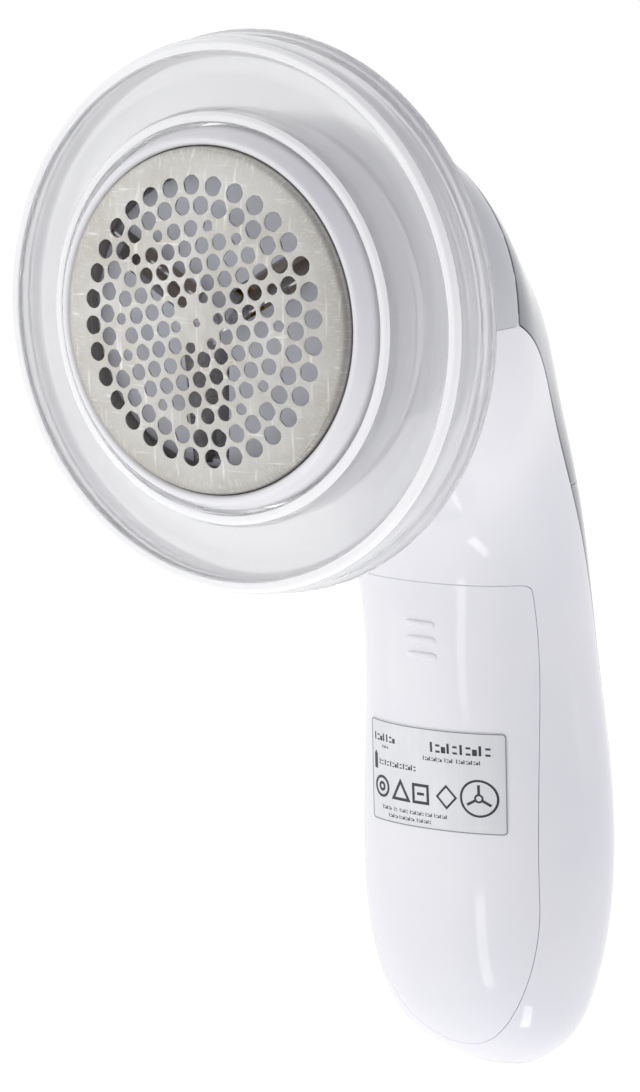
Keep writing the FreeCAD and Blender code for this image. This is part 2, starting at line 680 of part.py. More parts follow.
# ---------------------------------------------------------------- motor
can = turned("can_turned", [
    ("dims.can_neck_radius - 0.2", "dims.casing_front + 0.3"),
    ("dims.can_neck_radius", "dims.casing_front"),
    ("dims.can_neck_radius", "dims.motor_front"),
    ("dims.motor_radius", "dims.motor_front"),
    ("dims.motor_radius", "dims.motor_end"),
    ("dims.motor_radius - dims.can_sheet", "dims.motor_end"),
    ("dims.motor_radius - dims.can_sheet", "dims.motor_front + dims.can_sheet"),
    ("dims.bush_radius", "dims.motor_front + dims.can_sheet"),
    ("dims.bush_radius", "dims.casing_front + 0.3"),
])
finish(can, "motor_can")

finish(turned("front_bush", [
    ("dims.shaft_radius + dims.running_gap", "dims.casing_front + 0.4"),
    ("dims.bush_radius", "dims.casing_front + 0.4"),
    ("dims.bush_radius", "dims.bush_end"),
    ("dims.shaft_radius + dims.running_gap", "dims.bush_end"),
]), "front_bush")


def ring_segment(outer, inner, start, stop, spread):
    """Part of a tube about the head axis, symmetric about +X."""
    tube = Part.makeCylinder(outer, stop - start, V(0, start, 0), V(0, 1, 0), spread)
    core = Part.makeCylinder(inner, stop - start, V(0, start, 0), V(0, 1, 0))
    segment = tube.cut(core).Solids[0]
    middle = segment.CenterOfMass
    segment.rotate(V(0, 0, 0), V(0, 1, 0), math.degrees(math.atan2(middle.z, middle.x)))
    return segment


MAGNET_SPREAD = 120
magnet = ring_segment(dim("magnet_outer"), dim("magnet_inner"), dim("magnet_front"), dim("magnet_end"),
                      MAGNET_SPREAD)
finish(spread_round("motor_magnets", magnet, 2, 90.0), "motor_magnets")

CORE_LENGTH = "dims.core_end - dims.core_front"
core_round = rod("core_round", "dims.core_radius", "dims.core_front", CORE_LENGTH)
core_bore = rod("core_bore", "dims.shaft_radius", "dims.core_front - 1", f"{CORE_LENGTH} + 2")
slot_reach = dim("core_radius") - dim("core_slot_inner") + 1
core_slot = Part.makeBox(slot_reach, dim("core_end") - dim("core_front") + 2, dim("core_slot_width"),
                         V(dim("core_slot_inner"), dim("core_front") - 1, -dim("core_slot_width") / 2))
core_slots = spread_round("core_slots", core_slot, ARM_COUNT, 30.0)
finish(cut("armature_core", core_round, core_bore, core_slots), "armature_core")

windings = [
    turned(f"winding_{place}", [
        ("dims.winding_inner", start),
        ("dims.winding_outer", start),
        ("dims.winding_outer", stop),
        ("dims.winding_inner", stop),
    ])
    for place, start, stop in (("front", "dims.winding_front", "dims.core_front"),
                               ("rear", "dims.core_end", "dims.winding_end"))
]
finish(group("armature_windings", *windings), "armature_windings")
finish(turned("commutator", [
    ("dims.shaft_radius", "dims.commutator_front"),
    ("dims.commutator_radius", "dims.commutator_front"),
    ("dims.commutator_radius", "dims.commutator_end"),
    ("dims.shaft_radius", "dims.commutator_end"),
]), "commutator")

finish(turned("motor_end_cap", [
    ("dims.shaft_radius + dims.running_gap", "dims.motor_end + dims.cap_gap"),
    ("dims.motor_radius - 0.1", "dims.motor_end + dims.cap_gap"),
    ("dims.motor_radius - 0.1", "dims.cap_end - 0.6"),
    ("dims.motor_radius - 0.7", "dims.cap_end"),
    ("dims.shaft_radius + dims.running_gap", "dims.cap_end"),
]), "motor_end_cap")
BRUSH = {"width": "0.4", "y_low": "33.4", "depth": "2.2", "z_low": "-1.2", "height": "2.4"}
brush_arms = [block(f"brush_{side}", x_middle=x, **BRUSH) for side, x in (("left", "-2.8"), ("right", "2.8"))]
finish(group("motor_brushes", *brush_arms), "motor_brushes")
TAB = {"width": "2.2", "y_low": "dims.cap_end", "depth": "1.4", "z_low": "-6.4", "height": "0.5"}
tabs = [block(f"tab_{side}", x_middle=x, **TAB) for side, x in (("left", "-4"), ("right", "4"))]
finish(group("motor_terminals", *tabs), "motor_terminals")

BRACKET_FRONT = "dims.casing_front + dims.post_length"
bracket_ring = rod("bracket_ring", "dims.bracket_radius", BRACKET_FRONT, "dims.bracket_sheet")
bracket_bar = block("bracket_bar", "2 * dims.post_offset + dims.bracket_width",
                    BRACKET_FRONT, "dims.bracket_sheet", "-dims.bracket_width / 2", "dims.bracket_width")
bracket_bore = rod("bracket_bore", "dims.motor_radius + 0.05", f"{BRACKET_FRONT} - 1", "4")
bracket_holes = [rod(f"bracket_hole_{side}", "dims.bracket_hole", f"{BRACKET_FRONT} - 1", "4", x=x)
                 for side, x in POSTS]
finish(cut("motor_bracket", fuse("bracket_solid", bracket_ring, bracket_bar), bracket_bore, *bracket_holes),
       "motor_bracket")
screws = []
for side, x in POSTS:
    shank = rod(f"shank_{side}", "dims.motor_screw_radius", "dims.casing_front + 2",
                "dims.post_length - 0.4", x=x)
    head = rod(f"head_{side}", "dims.motor_head_radius", f"{BRACKET_FRONT} + dims.bracket_sheet",
               "dims.screw_head_height", x=x)
    screws.append(fuse(f"bracket_screw_{side}", shank, head))
finish(group("motor_screws", *screws), "motor_screws")


# ---------------------------------------------------------------- casing
outer_form = form("outer_form", 0.0)
inner_form = form("inner_form", dim("wall"))
fitted_form = form("fitted_form", dim("wall") + 0.1)
casing = cut("casing_wall", outer_form, inner_form)

# Corners of the head cover in the side view, as (depth, height).
HEAD_COVER_EDGE = [(12, 60), (dim("seam_depth"), 60), (dim("seam_depth"), dim("seam_low")),
                   (33, dim("seam_low")), (24, -13), (12, -13)]


def side_prism(name, corners):
    """Prism across the whole width from corners in the side view."""
    points = [V(-FAR / 2, y, z) for y, z in corners]
    return plain(name, Part.Face(Part.makePolygon(points + points[:1])).extrude(V(FAR, 0, 0)))


head_cover_region = side_prism("head_cover_region", HEAD_COVER_EDGE)
rear_cut = rear_region("rear_cut", 0.0, 0.0, dim("rear_cover_end"))
door_cut = door_region("door_cut", 0.0)
finish(common("head_cover", casing, head_cover_region), "head_cover")

head_cover_cut = side_prism("head_cover_cut", HEAD_COVER_EDGE)
seam_strip = block("seam_strip", f"{FAR}", "dims.seam_depth - 0.1", "0.4", "dims.seam_low", "60")
finish(cut("body_shell", casing, head_cover_cut, seam_strip, rear_cut, door_cut), "body_shell")

gap = dim("part_gap")
bin_outside = common("bin_outside", form("bin_form", 0.0),
                     rear_region("bin_region", gap, 0.15, dim("bin_floor_end")))
BIN_WALL = 1.6
BIN_FLOOR = 1.8
bin_inside = common("bin_inside", form("bin_space", dim("wall")),
                    rear_region("bin_space_region", gap + BIN_WALL, -3.0, dim("bin_floor_end") + BIN_FLOOR))
finish(cut("lint_bin", bin_outside, bin_inside), "lint_bin")

DECK_WALL = 1.5
deck_outside = common("deck_outside", fitted_form,
                      rear_region("deck_region", -DECK_WALL, -DECK_WALL, dim("bin_floor_end") - DECK_WALL))
deck_inside = rear_region("deck_space", -0.05, -0.05, dim("bin_floor_end") - 3)
deck_window = block("deck_window", "dims.window_width", "38", "6", "dims.window_low",
                    "dims.window_high - dims.window_low")
finish(cut("bin_deck", deck_outside, deck_inside, deck_window), "bin_deck")

SEAM_GAP = 0.1
rear_wall_region = rear_region("rear_cover_region", SEAM_GAP, SEAM_GAP, dim("rear_cover_end") + SEAM_GAP)
rear_wall = common("rear_wall", casing, rear_wall_region)
above_bin_floor = block("above_bin_floor", f"{FAR}", "0", f"{FAR}", "dims.bin_floor_end - dims.part_gap",
                        f"{FAR}")
switch_slot = block("switch_slot", "dims.stem_width + 2 * dims.stem_gap", "80", "20",
                    "dims.stem_low - dims.stem_gap",
                    "dims.stem_height + dims.switch_travel + 2 * dims.stem_gap + 0.3")
# Casing screws: across, surface depth and height of each one.
SCREW_PLACES = [("left", -8.0, 82.2, -36.6), ("right", 8.0, 82.2, -36.6), ("low", 0.0, 89.9, -92.0)]
BOSS_LENGTH = 4.6
COVER_BOSS_RADIUS = 3.4
HEAD_SINK = 2.2
HEAD_RADIUS = 2.0
SINK_RADIUS = 2.3
SHANK_RADIUS = 0.85
SHANK_LENGTH = 7.5
SHANK_TIP = 9.6
SCREW_HOLE_RADIUS = 1.05
HOLE_LENGTH = 12
cover_bosses = []
cover_holes = []
cover_screws = []
for place, x, back, z in SCREW_PLACES:
    boss = Part.makeCylinder(COVER_BOSS_RADIUS, HOLE_LENGTH, V(x, back - BOSS_LENGTH, z), V(0, 1, 0))
    boss_rod = plain(f"boss_rod_{place}", boss)
    cover_bosses.append(common(f"cover_boss_{place}", form(f"boss_form_{place}", 0.0), boss_rod))
    shank = Part.makeCylinder(SHANK_RADIUS, SHANK_LENGTH, V(x, back - SHANK_TIP, z), V(0, 1, 0))
    head = Part.makeCylinder(HEAD_RADIUS, dim("screw_head_height"), V(x, back - HEAD_SINK, z), V(0, 1, 0))
    cover_screws.append(shank.fuse(head))
    hole = Part.makeCylinder(SCREW_HOLE_RADIUS, HOLE_LENGTH, V(x, back - 10, z), V(0, 1, 0))
    sink = Part.makeCylinder(SINK_RADIUS, HOLE_LENGTH, V(x, back - HEAD_SINK, z), V(0, 1, 0))
    cover_holes.append(hole.fuse(sink))
screw_holes = plain("cover_screw_holes", Part.makeCompound(cover_holes))
rear_solid = fuse("rear_solid", rear_wall, *cover_bosses)
finish(cut("rear_cover", rear_solid, above_bin_floor, switch_slot, screw_holes), "rear_cover")
finish(plain("casing_screws", Part.makeCompound(cover_screws)), "casing_screws")


# ---------------------------------------------------------------- battery door and label
door_casing = cut("door_casing", form("door_form", 0.0), form("door_space", dim("door_wall")))
door_skin = common("door_skin", door_casing, door_region("door_region", 0.25))
RIDGE_COUNT = 3
ridges = []
for i in range(RIDGE_COUNT):
    ridge_block = block(f"ridge_block_{i}", "dims.ridge_width", "50", "10",
                        f"dims.ridge_top - {i} * dims.ridge_pitch - dims.ridge_height / 2",
                        "dims.ridge_height")
    ridges.append(common(f"ridge_{i}", form(f"ridge_form_{i}", -dim("ridge_rise")), ridge_block))
door_solid = fuse("door_solid", door_skin, *ridges)
finish(cut("battery_cover", door_solid, form("door_clear", dim("door_wall"))), "battery_cover")

label_block = block("label_block", "dims.label_width", "50", "20", "dims.label_top - dims.label_height",
                    "dims.label_height")
label_skin = cut("label_skin", form("label_form", -dim("label_rise")), form("label_backing", -0.02))
finish(common("rating_label", label_skin, label_block), "rating_label")


# ---------------------------------------------------------------- batteries
SLAB_WIDTH = "60"
SHELF_FRONT = "62"
SHELF_DEPTH = f"dims.tray_back - {SHELF_FRONT} + dims.tray_wall"
tray_solids = [
    block("tray_back_wall", SLAB_WIDTH, "dims.tray_back", "dims.tray_wall",
          "dims.tray_bottom - dims.tray_sheet",
          "dims.tray_top - dims.tray_bottom + 2 * dims.tray_sheet"),
    block("tray_roof", SLAB_WIDTH, SHELF_FRONT, SHELF_DEPTH, "dims.tray_top", "dims.tray_sheet"),
    block("tray_floor", SLAB_WIDTH, SHELF_FRONT, SHELF_DEPTH,
          "dims.tray_bottom - dims.tray_sheet", "dims.tray_sheet"),
]
TRAY_BOSS_RADIUS = 2.4
UPPER_BOSS_START = 68.0
TRAY_PILOT_RADIUS = 0.9
TRAY_WEB = 1.6
tray_pilots = []
for place, x, back, z in SCREW_PLACES:
    start = UPPER_BOSS_START if x else dim("tray_back") + 0.5
    length = back - BOSS_LENGTH - SEAM_GAP - start
    tray_boss = Part.makeCylinder(TRAY_BOSS_RADIUS, length, V(x, start, z), V(0, 1, 0))
    tray_solids.append(plain(f"tray_boss_{place}", tray_boss))
    tray_pilots.append(Part.makeCylinder(TRAY_PILOT_RADIUS, HOLE_LENGTH, V(x, back - 10, z), V(0, 1, 0)))
    if x:
        tray_solids.append(block(f"tray_web_{place}", f"{TRAY_WEB}", f"{start}", f"{length}",
                                 "dims.tray_top + 0.4", f"{z} - 1.6 - dims.tray_top", x_middle=f"{x}"))
tray_inside = common("tray_inside", fuse("tray_slabs", *tray_solids), form("tray_form", dim("wall") + 0.3))
finish(cut("battery_tray", tray_inside, plain("tray_pilots", Part.makeCompound(tray_pilots))), "battery_tray")

PLATE = 0.4
STUD_HEIGHT = 1.2
STUD_RADIUS = 2.7
SPRING_SPACE = 4.6
CELLS = [
    # side, sign across, lower end of the can, its stud up or down
    ("left", -1, f"dims.tray_bottom + {SPRING_SPACE}", "up"),
    ("right", 1, f"dims.tray_bottom + {PLATE} + {STUD_HEIGHT}", "down"),
]
for side, sign, low, way in CELLS:
    x = f"{sign} * dims.cell_offset"
    can_body = post(f"cell_{side}", "dims.cell_radius", low, "dims.cell_length", x=x, y="dims.cell_depth")
    stud_start = f"{low} + dims.cell_length" if way == "up" else f"{low} - {STUD_HEIGHT}"
    stud = post(f"stud_{side}", STUD_RADIUS, stud_start, STUD_HEIGHT, x=x, y="dims.cell_depth")
    finish(fuse(f"battery_{side}", can_body, stud), f"battery_{side}")


def bent_wire(start, middle, stop, radius):
    """Round wire bent to the arc through three points."""
    to_middle = middle - start
    to_stop = stop - start
    axis = to_middle.cross(to_stop)
    offset = axis.cross(to_middle) * to_stop.dot(to_stop) + to_stop.cross(axis) * to_middle.dot(to_middle)
    centre = start + offset * (0.5 / axis.dot(axis))
    axis.normalize()
    outward = start - centre
    forward = axis.cross(outward)
    turn = math.atan2((stop - centre).dot(forward), (stop - centre).dot(outward)) % (2 * math.pi)
    disc = Part.Face(Part.Wire([Part.makeCircle(radius, start, forward)]))
    return disc.revolve(centre, axis, math.degrees(turn))


def contact_spring(x, low, high):
    """Coiled wire spring between two heights, as half turns of round wire set end to end."""
    wire_radius = 0.35
    coil_radius = 3.2
    half_turns = 7
    climb = (high - low - 2 * wire_radius) / half_turns

    def on_coil(steps):
        angle = math.pi * steps
        return V(x + coil_radius * math.cos(angle), dim("cell_depth") + coil_radius * math.sin(angle),
                 low + wire_radius + climb * steps)

    turns = [bent_wire(on_coil(step), on_coil(step + 0.5), on_coil(step + 1), wire_radius)
             for step in range(half_turns)]
    return Part.makeCompound(turns)


cell_offset = dim("cell_offset")
low_spring = contact_spring(-cell_offset, dim("tray_bottom") + PLATE, dim("tray_bottom") + SPRING_SPACE)
high_cell_end = dim("tray_bottom") + PLATE + STUD_HEIGHT + dim("cell_length")
high_spring = contact_spring(cell_offset, high_cell_end, dim("tray_top") - PLATE)
finish(plain("battery_springs", Part.makeCompound([low_spring, high_spring])), "battery_springs")
PLATE_FRONT = "66"
PLATE_SIZE = "9"
BRIDGE_WIDTH = "24"
plates = [block("plate_bridge", BRIDGE_WIDTH, PLATE_FRONT, PLATE_SIZE, "dims.tray_bottom", f"{PLATE}")]
for side, x in (("left", "-dims.cell_offset"), ("right", "dims.cell_offset")):
    plates.append(block(f"plate_{side}", PLATE_SIZE, PLATE_FRONT, PLATE_SIZE, f"dims.tray_top - {PLATE}",
                        f"{PLATE}", x_middle=x))
finish(group("battery_contacts", *plates), "battery_contacts")


# ---------------------------------------------------------------- switch
switch_block = block("switch_block", "dims.switch_width", "dims.switch_depth",
                     "dims.switch_back - dims.switch_depth", "dims.switch_low",
                     "dims.switch_high - dims.switch_low")
switch_pins = block("switch_pins", "4", "dims.switch_depth", "2", "dims.switch_high", "1.2")
finish(fuse("switch_body", switch_block, switch_pins), "switch_body")
pad_skin = cut("pad_skin", form("pad_form", -dim("pad_rise")), form("pad_clear", -dim("part_gap") - 0.05))
pad_block = block("pad_block", "dims.pad_width", "80", "20", "dims.pad_low", "dims.pad_height")
pad = common("pad", pad_skin, pad_block)
stem_block = block("stem_block", "dims.stem_width", "dims.switch_back + 0.5", "8", "dims.stem_low",
                   "dims.stem_height")
stem = common("stem", stem_block, form("stem_form", -1.5))
finish(fuse("switch_button", pad, stem), "switch_button")


# ---------------------------------------------------------------- wires
def wire(name, points, radius):
    """Round wire: straight runs joined by tangent arcs as large as the runs allow."""
    points = [V(*point) for point in points]
    edges = []
    start = points[0]
    for before, corner, after in zip(points, points[1:], points[2:]):
        inward = (before - corner).normalize()
        outward = (after - corner).normalize()
        reach = 0.45 * min((before - corner).Length, (after - corner).Length)
        half_turn = (math.pi - inward.getAngle(outward)) / 2
        bend = reach / math.tan(half_turn)
        bisector = (inward + outward).normalize()
        tip = corner + bisector * (bend / math.cos(half_turn) - bend)
        edges.append(Part.LineSegment(start, corner + inward * reach).toShape())
        edges.append(Part.Arc(corner + inward * reach, tip, corner + outward * reach).toShape())
        start = corner + outward * reach
        print(f"{name}: bend radius {bend:.1f} mm")
    edges.append(Part.LineSegment(start, points[-1]).toShape())
    path = Part.Wire(edges)
    ring = Part.Wire([Part.makeCircle(radius, points[0], points[1] - points[0])])
    tube = path.makePipeShell([ring], True, False)
    ideal = math.pi * radius ** 2 * path.Length
    print(f"{name}: volume {tube.Volume:.2f}, section times length {ideal:.2f}")
    return plain(name, tube)


WIRE_RADIUS = 0.55
RED_ROUTE = [(4, 38.7, -6.4), (4, 39.2, -12), (4, 42.5, -19), (4, 50, -26), (3.8, 59, -32), (3, 68, -36.5),
             (1.2, 78, -36.8), (1, 80.4, -39), (1, 80.4, -42.3)]
BLACK_ROUTE = [(-4, 38.7, -6.4), (-4, 39.2, -12), (-4, 42.5, -19), (-4, 50, -27), (-4, 58, -34),
               (-3.7, 64.6, -38.6), (-3.5, 68.6, -42), (-3.5, 68.6, -46.4)]
finish(wire("wire_red", RED_ROUTE, WIRE_RADIUS), "wire_red")
finish(wire("wire_black", BLACK_ROUTE, WIRE_RADIUS), "wire_black")


# ---------------------------------------------------------------- check and write
doc.recompute()
for obj in doc.Objects:
    if "Invalid" in obj.State or "Error" in obj.State:
        raise RuntimeError(f"{obj.Name} failed: {obj.State}")
for obj in finished:
    shape = obj.Shape
    if shape.isNull() or not shape.isValid():
        raise RuntimeError(f"{obj.Label} has no valid shape")
    box = shape.optimalBoundingBox(False)
    print(f"{obj.Label}: {len(shape.Solids)} solids, {shape.Volume:.0f} mm3, "
          f"x {box.XMin:.2f} {box.XMax:.2f} y {box.YMin:.2f} {box.YMax:.2f} z {box.ZMin:.2f} {box.ZMax:.2f}")
    shape.exportStep(f"parts/{obj.Label}.step")
print(len(finished), "sub-parts")
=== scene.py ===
"""Looks of the battery fabric shaver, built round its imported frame.

The casing, the head and the trim are drawn here as fine closed meshes.  They are worked out in
millimetres in the head's own frame, X right, Y back from the top of the foil's dome, Z up, and
are moved to the row frame, in metres, when a piece is made.
"""

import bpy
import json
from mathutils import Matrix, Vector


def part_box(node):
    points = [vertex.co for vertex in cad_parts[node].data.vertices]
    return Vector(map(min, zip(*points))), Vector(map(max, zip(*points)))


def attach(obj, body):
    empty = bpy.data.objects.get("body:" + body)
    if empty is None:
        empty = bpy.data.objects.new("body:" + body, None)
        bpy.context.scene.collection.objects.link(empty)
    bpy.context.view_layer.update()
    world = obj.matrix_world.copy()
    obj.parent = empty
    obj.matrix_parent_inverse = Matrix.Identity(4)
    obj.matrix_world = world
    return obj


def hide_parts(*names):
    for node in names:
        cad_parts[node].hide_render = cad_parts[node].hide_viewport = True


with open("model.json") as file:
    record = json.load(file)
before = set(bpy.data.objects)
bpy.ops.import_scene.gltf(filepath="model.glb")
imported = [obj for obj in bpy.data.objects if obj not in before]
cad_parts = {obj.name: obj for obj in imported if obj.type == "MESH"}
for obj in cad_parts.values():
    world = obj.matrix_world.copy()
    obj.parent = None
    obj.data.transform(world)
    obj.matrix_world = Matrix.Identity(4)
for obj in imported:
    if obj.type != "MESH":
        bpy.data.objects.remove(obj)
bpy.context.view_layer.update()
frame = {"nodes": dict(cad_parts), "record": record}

import json
import math

import bmesh
import bpy
import numpy as np
from mathutils import Matrix, Vector, geometry

MM = 0.001
LATHE_SEGMENTS = 256
ARC_STEPS = 6
foil_low, foil_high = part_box("foil")
APEX = np.array([0.0, foil_low.y, (foil_low.z + foil_high.z) / 2])


# ---------------------------------------------------------------- meshes
def to_row(points):
    """Head-frame millimetres to row-frame metres."""
    return np.asarray(points, float) * MM + APEX


def piece(name, points, faces, body, slot, material, smooth=True, replaces=()):
    """A mesh piece of the object from head-frame points."""
    mesh = bpy.data.meshes.new(name)
    mesh.from_pydata(to_row(points).tolist(), [], [list(face) for face in faces])
    mesh.validate()
    mesh.polygons.foreach_set("use_smooth", [smooth] * len(mesh.polygons))
    mesh.materials.append(material)
    obj = bpy.data.objects.new(name, mesh)
    bpy.context.scene.collection.objects.link(obj)
    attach(obj, body)
    if replaces:
        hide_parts(*replaces)
    return obj


def smooth_by_angle(mesh, degrees):
    """Smooth shading with edges sharper than an angle kept crisp."""
    mesh.polygons.foreach_set("use_smooth", [True] * len(mesh.polygons))
    mesh.set_sharp_from_angle(angle=math.radians(degrees))


def round_corners(rows):
    """Closed outline of (radius, depth, rounding) rows with each corner turned into a short arc."""
    outline = np.array(rows)[:, :2]
    result = []
    for i, corner in enumerate(outline):
        before = outline[i - 1] - corner
        after = outline[(i + 1) % len(outline)] - corner
        reach = min(rows[i][2], 0.48 * np.linalg.norm(before), 0.48 * np.linalg.norm(after))
        start = corner + before / np.linalg.norm(before) * reach
        stop = corner + after / np.linalg.norm(after) * reach
        for t in np.arange(ARC_STEPS + 1) / ARC_STEPS:
            result.append((1 - t) ** 2 * start + 2 * t * (1 - t) * corner + t ** 2 * stop)
    return np.array(result)


def band(first, second):
    """Quads between two closed loops of vertex numbers."""
    nexts = zip(first, first[1:] + first[:1], second[1:] + second[:1], second)
    return [list(quad) for quad in nexts]


def thick_faces(faces, count):
    """Faces of a closed sheet: its top, its bottom count points further on, and walls at open edges."""
    edges = dict.fromkeys((a, b) for face in faces for a, b in zip(face, [*face[1:], face[0]]))
    bottom = [[count + v for v in reversed(face)] for face in faces]
    walls = [(b, a, count + a, count + b) for a, b in edges if (b, a) not in edges]
    return [*faces, *bottom, *walls]


def lathe(outline):
    """Closed outline of (radius, depth) turned about the head axis: points and faces."""
    angles = np.arange(LATHE_SEGMENTS) * 2 * math.pi / LATHE_SEGMENTS
    count = len(outline)
    x = outline[None, :, 0] * np.cos(angles)[:, None]
    z = outline[None, :, 0] * np.sin(angles)[:, None]
    y = np.broadcast_to(outline[None, :, 1], x.shape)
    points = np.stack([x, y, z], -1).reshape(-1, 3)
    loops = [list(range(start, start + count)) for start in range(0, len(points), count)]
    return points, [face for here, there in zip(loops, loops[1:] + loops[:1]) for face in band(here, there)]


# ---------------------------------------------------------------- casing form
# Stations from the head to the tip: front point, back point (depth, height), half width.
STATIONS = np.array([
    (17.0, -27.5, 17.0, 27.5, 27.5),
    (27.0, -27.8, 28.0, 27.4, 27.9),
    (36.0, -29.0, 41.3, 24.8, 27.8),
    (45.0, -33.0, 52.0, 15.5, 25.4),
    (51.0, -38.5, 63.6, 6.0, 21.6),
    (54.5, -45.0, 73.0, -8.5, 18.9),
    (56.2, -54.0, 82.0, -28.0, 17.8),
    (57.6, -66.0, 87.4, -55.0, 18.3),
    (58.8, -80.0, 90.0, -78.0, 19.9),
    (59.8, -95.0, 89.6, -97.0, 19.9),
    (62.0, -107.5, 87.4, -110.0, 17.5),
    (67.5, -117.0, 84.4, -118.0, 12.6),
    (75.0, -122.0, 82.0, -122.5, 5.0),
])
SECTION_POWER = 2.15
WALL = 2.0


def spline_slopes(knots, values):
    """Slopes of the C2 cubic through the values, with end slopes from the end parabolas."""
    count = len(knots)
    step = np.diff(knots)
    rise = np.diff(values, axis=0) / step[:, None]
    system = np.eye(count)
    right = np.zeros_like(values)
    right[0] = rise[0] - (rise[1] - rise[0]) * step[0] / (step[0] + step[1])
    right[-1] = rise[-1] + (rise[-1] - rise[-2]) * step[-1] / (step[-1] + step[-2])
    for i in range(1, count - 1):
        system[i, i - 1] = step[i]
        system[i, i] = 2 * (step[i - 1] + step[i])
        system[i, i + 1] = step[i - 1]
        right[i] = 3 * (step[i] * rise[i - 1] + step[i - 1] * rise[i])
    return np.linalg.solve(system, right)


class Spline:
    """Smooth curve through rows of values at rising knots."""

    def __init__(self, knots, values):
        self.knots = np.asarray(knots, float)
        self.values = np.asarray(values, float)
        self.slopes = spline_slopes(self.knots, self.values)

    def at(self, place):
        place = np.clip(place, self.knots[0], self.knots[-1])
        i = np.clip(np.searchsorted(self.knots, place, side="right") - 1, 0, len(self.knots) - 2)
        step = (self.knots[i + 1] - self.knots[i])[..., None]
        t = (place - self.knots[i])[..., None] / step
        start, stop = self.values[i], self.values[i + 1]
        slope_in, slope_out = self.slopes[i] * step, self.slopes[i + 1] * step
        return ((2 * t ** 3 - 3 * t ** 2 + 1) * start + (t ** 3 - 2 * t ** 2 + t) * slope_in
                + (3 * t ** 2 - 2 * t ** 3) * stop + (t ** 3 - t ** 2) * slope_out)


# Each step between stations counts a little more than its length, which evens out the short ones.
STEP_EXTRA = 2.0
middles = (STATIONS[:, 0:2] + STATIONS[:, 2:4]) / 2
PLACES = np.concatenate([[0.0], np.cumsum(np.linalg.norm(np.diff(middles, axis=0), axis=1) + STEP_EXTRA)])
station_spline = Spline(PLACES, STATIONS)
FORM_END = PLACES[-1]
TIP_ROUND = 3.0


def form_point(place, angle, inset=0.0):
    """Point of the casing form; places past FORM_END close its rounded tip."""
    past = np.clip((place - FORM_END) / TIP_ROUND, 0.0, 1.0)
    row = station_spline.at(np.minimum(place, FORM_END))
    middle = np.stack([(row[..., 0] + row[..., 2]) / 2, (row[..., 1] + row[..., 3]) / 2], -1)
    across = np.stack([(row[..., 2] - row[..., 0]) / 2, (row[..., 3] - row[..., 1]) / 2], -1)
    length = np.linalg.norm(across, axis=-1)
    shrink = np.cos(past * math.pi / 2)
    side = np.sign(np.sin(angle)) * np.abs(np.sin(angle)) ** (2 / SECTION_POWER)
    along = np.sign(np.cos(angle)) * np.abs(np.cos(angle)) ** (2 / SECTION_POWER)
    x = (row[..., 4] - inset) * side * shrink
    y = middle[..., 0] + across[..., 0] * ((length - inset) / length) * along * shrink
    z = middle[..., 1] + across[..., 1] * ((length - inset) / length) * along * shrink
    return np.stack([x, y, z], -1)


def form_frame(place, angle):
    """Points, outward normals and two unit tangents of the casing form."""
    point = form_point(place, angle)
    nudge = 1e-3
    at_end = np.minimum(place, FORM_END + TIP_ROUND * 0.97)
    along = form_point(at_end + nudge * 20, angle) - form_point(at_end - nudge * 20, angle)
    around = form_point(at_end, angle + nudge) - form_point(at_end, angle - nudge)
    normal = np.cross(around, along)
    normal /= np.linalg.norm(normal, axis=-1, keepdims=True)
    around /= np.linalg.norm(around, axis=-1, keepdims=True)
    return point, normal, around, np.cross(normal, around)


# ---------------------------------------------------------------- seams
def inside_distance(points, polygon):
    """Distance to the edge of a closed polygon, positive inside."""
    starts = np.asarray(polygon, float)
    stops = np.roll(starts, -1, axis=0)
    best = np.full(points.shape[0], np.inf)
    inside = np.zeros(points.shape[0], bool)
    for start, stop in zip(starts, stops):
        edge = stop - start
        offset = points - start
        t = np.clip(offset @ edge / (edge @ edge), 0, 1)
        best = np.minimum(best, np.linalg.norm(offset - t[:, None] * edge, axis=1))
        crosses = (start[1] > points[:, 1]) != (stop[1] > points[:, 1])
        with np.errstate(divide="ignore", invalid="ignore"):
            where = start[0] + (points[:, 1] - start[1]) * edge[0] / edge[1]
        inside ^= crosses & (points[:, 0] < where)
    return np.where(inside, best, -best)


# Seam lines seen from the side, as (depth, height): the rear parts' curved edge, then the head cover.
REAR_EDGE = np.array([(41.2, -2.4), (50.4, -7.2), (60.4, -16.6), (69.0, -28.5), (76.0, -43.0), (80.5, -62.0),
                      (82.6, -84.0), (83.6, -106.0)])
FAR = 110.0
edge_places = np.concatenate([[0.0], np.cumsum(np.linalg.norm(np.diff(REAR_EDGE, axis=0), axis=1))])
rear_spline = Spline(edge_places, REAR_EDGE)
REAR_CURVE = rear_spline.at(np.linspace(0, edge_places[-1], 90))
REAR_POLYGON = np.vstack([REAR_CURVE, [(FAR, REAR_CURVE[-1, 1]), (FAR, FAR), (REAR_CURVE[0, 0], FAR)]])
HEAD_POLYGON = np.array([(5, 60), (41, 60), (41, -2.5), (33, -2.5), (24, -13), (5, -13)])
DOOR_HALF = 16.0
DOOR_TOP = -44.4
DOOR_ROUND = -93.0
DOOR_ROUND_LENGTH = 25.0
DOOR_CORNER = 1.0


def door_polygon():
    """Outline of the battery door seen from the front: rounded top corners and a round end."""
    points = []
    steps = np.linspace(0, math.pi / 2, 9)
    for side, angles in ((1, steps), (-1, steps[::-1])):
        for angle in angles:
            points.append((side * (DOOR_HALF - DOOR_CORNER * (1 - math.cos(angle))),
                           DOOR_TOP - DOOR_CORNER * (1 - math.sin(angle))))
    for angle in np.linspace(math.pi, 2 * math.pi, 49):
        points.append((DOOR_HALF * math.cos(angle), DOOR_ROUND + DOOR_ROUND_LENGTH * math.sin(angle)))
    return np.array(points)


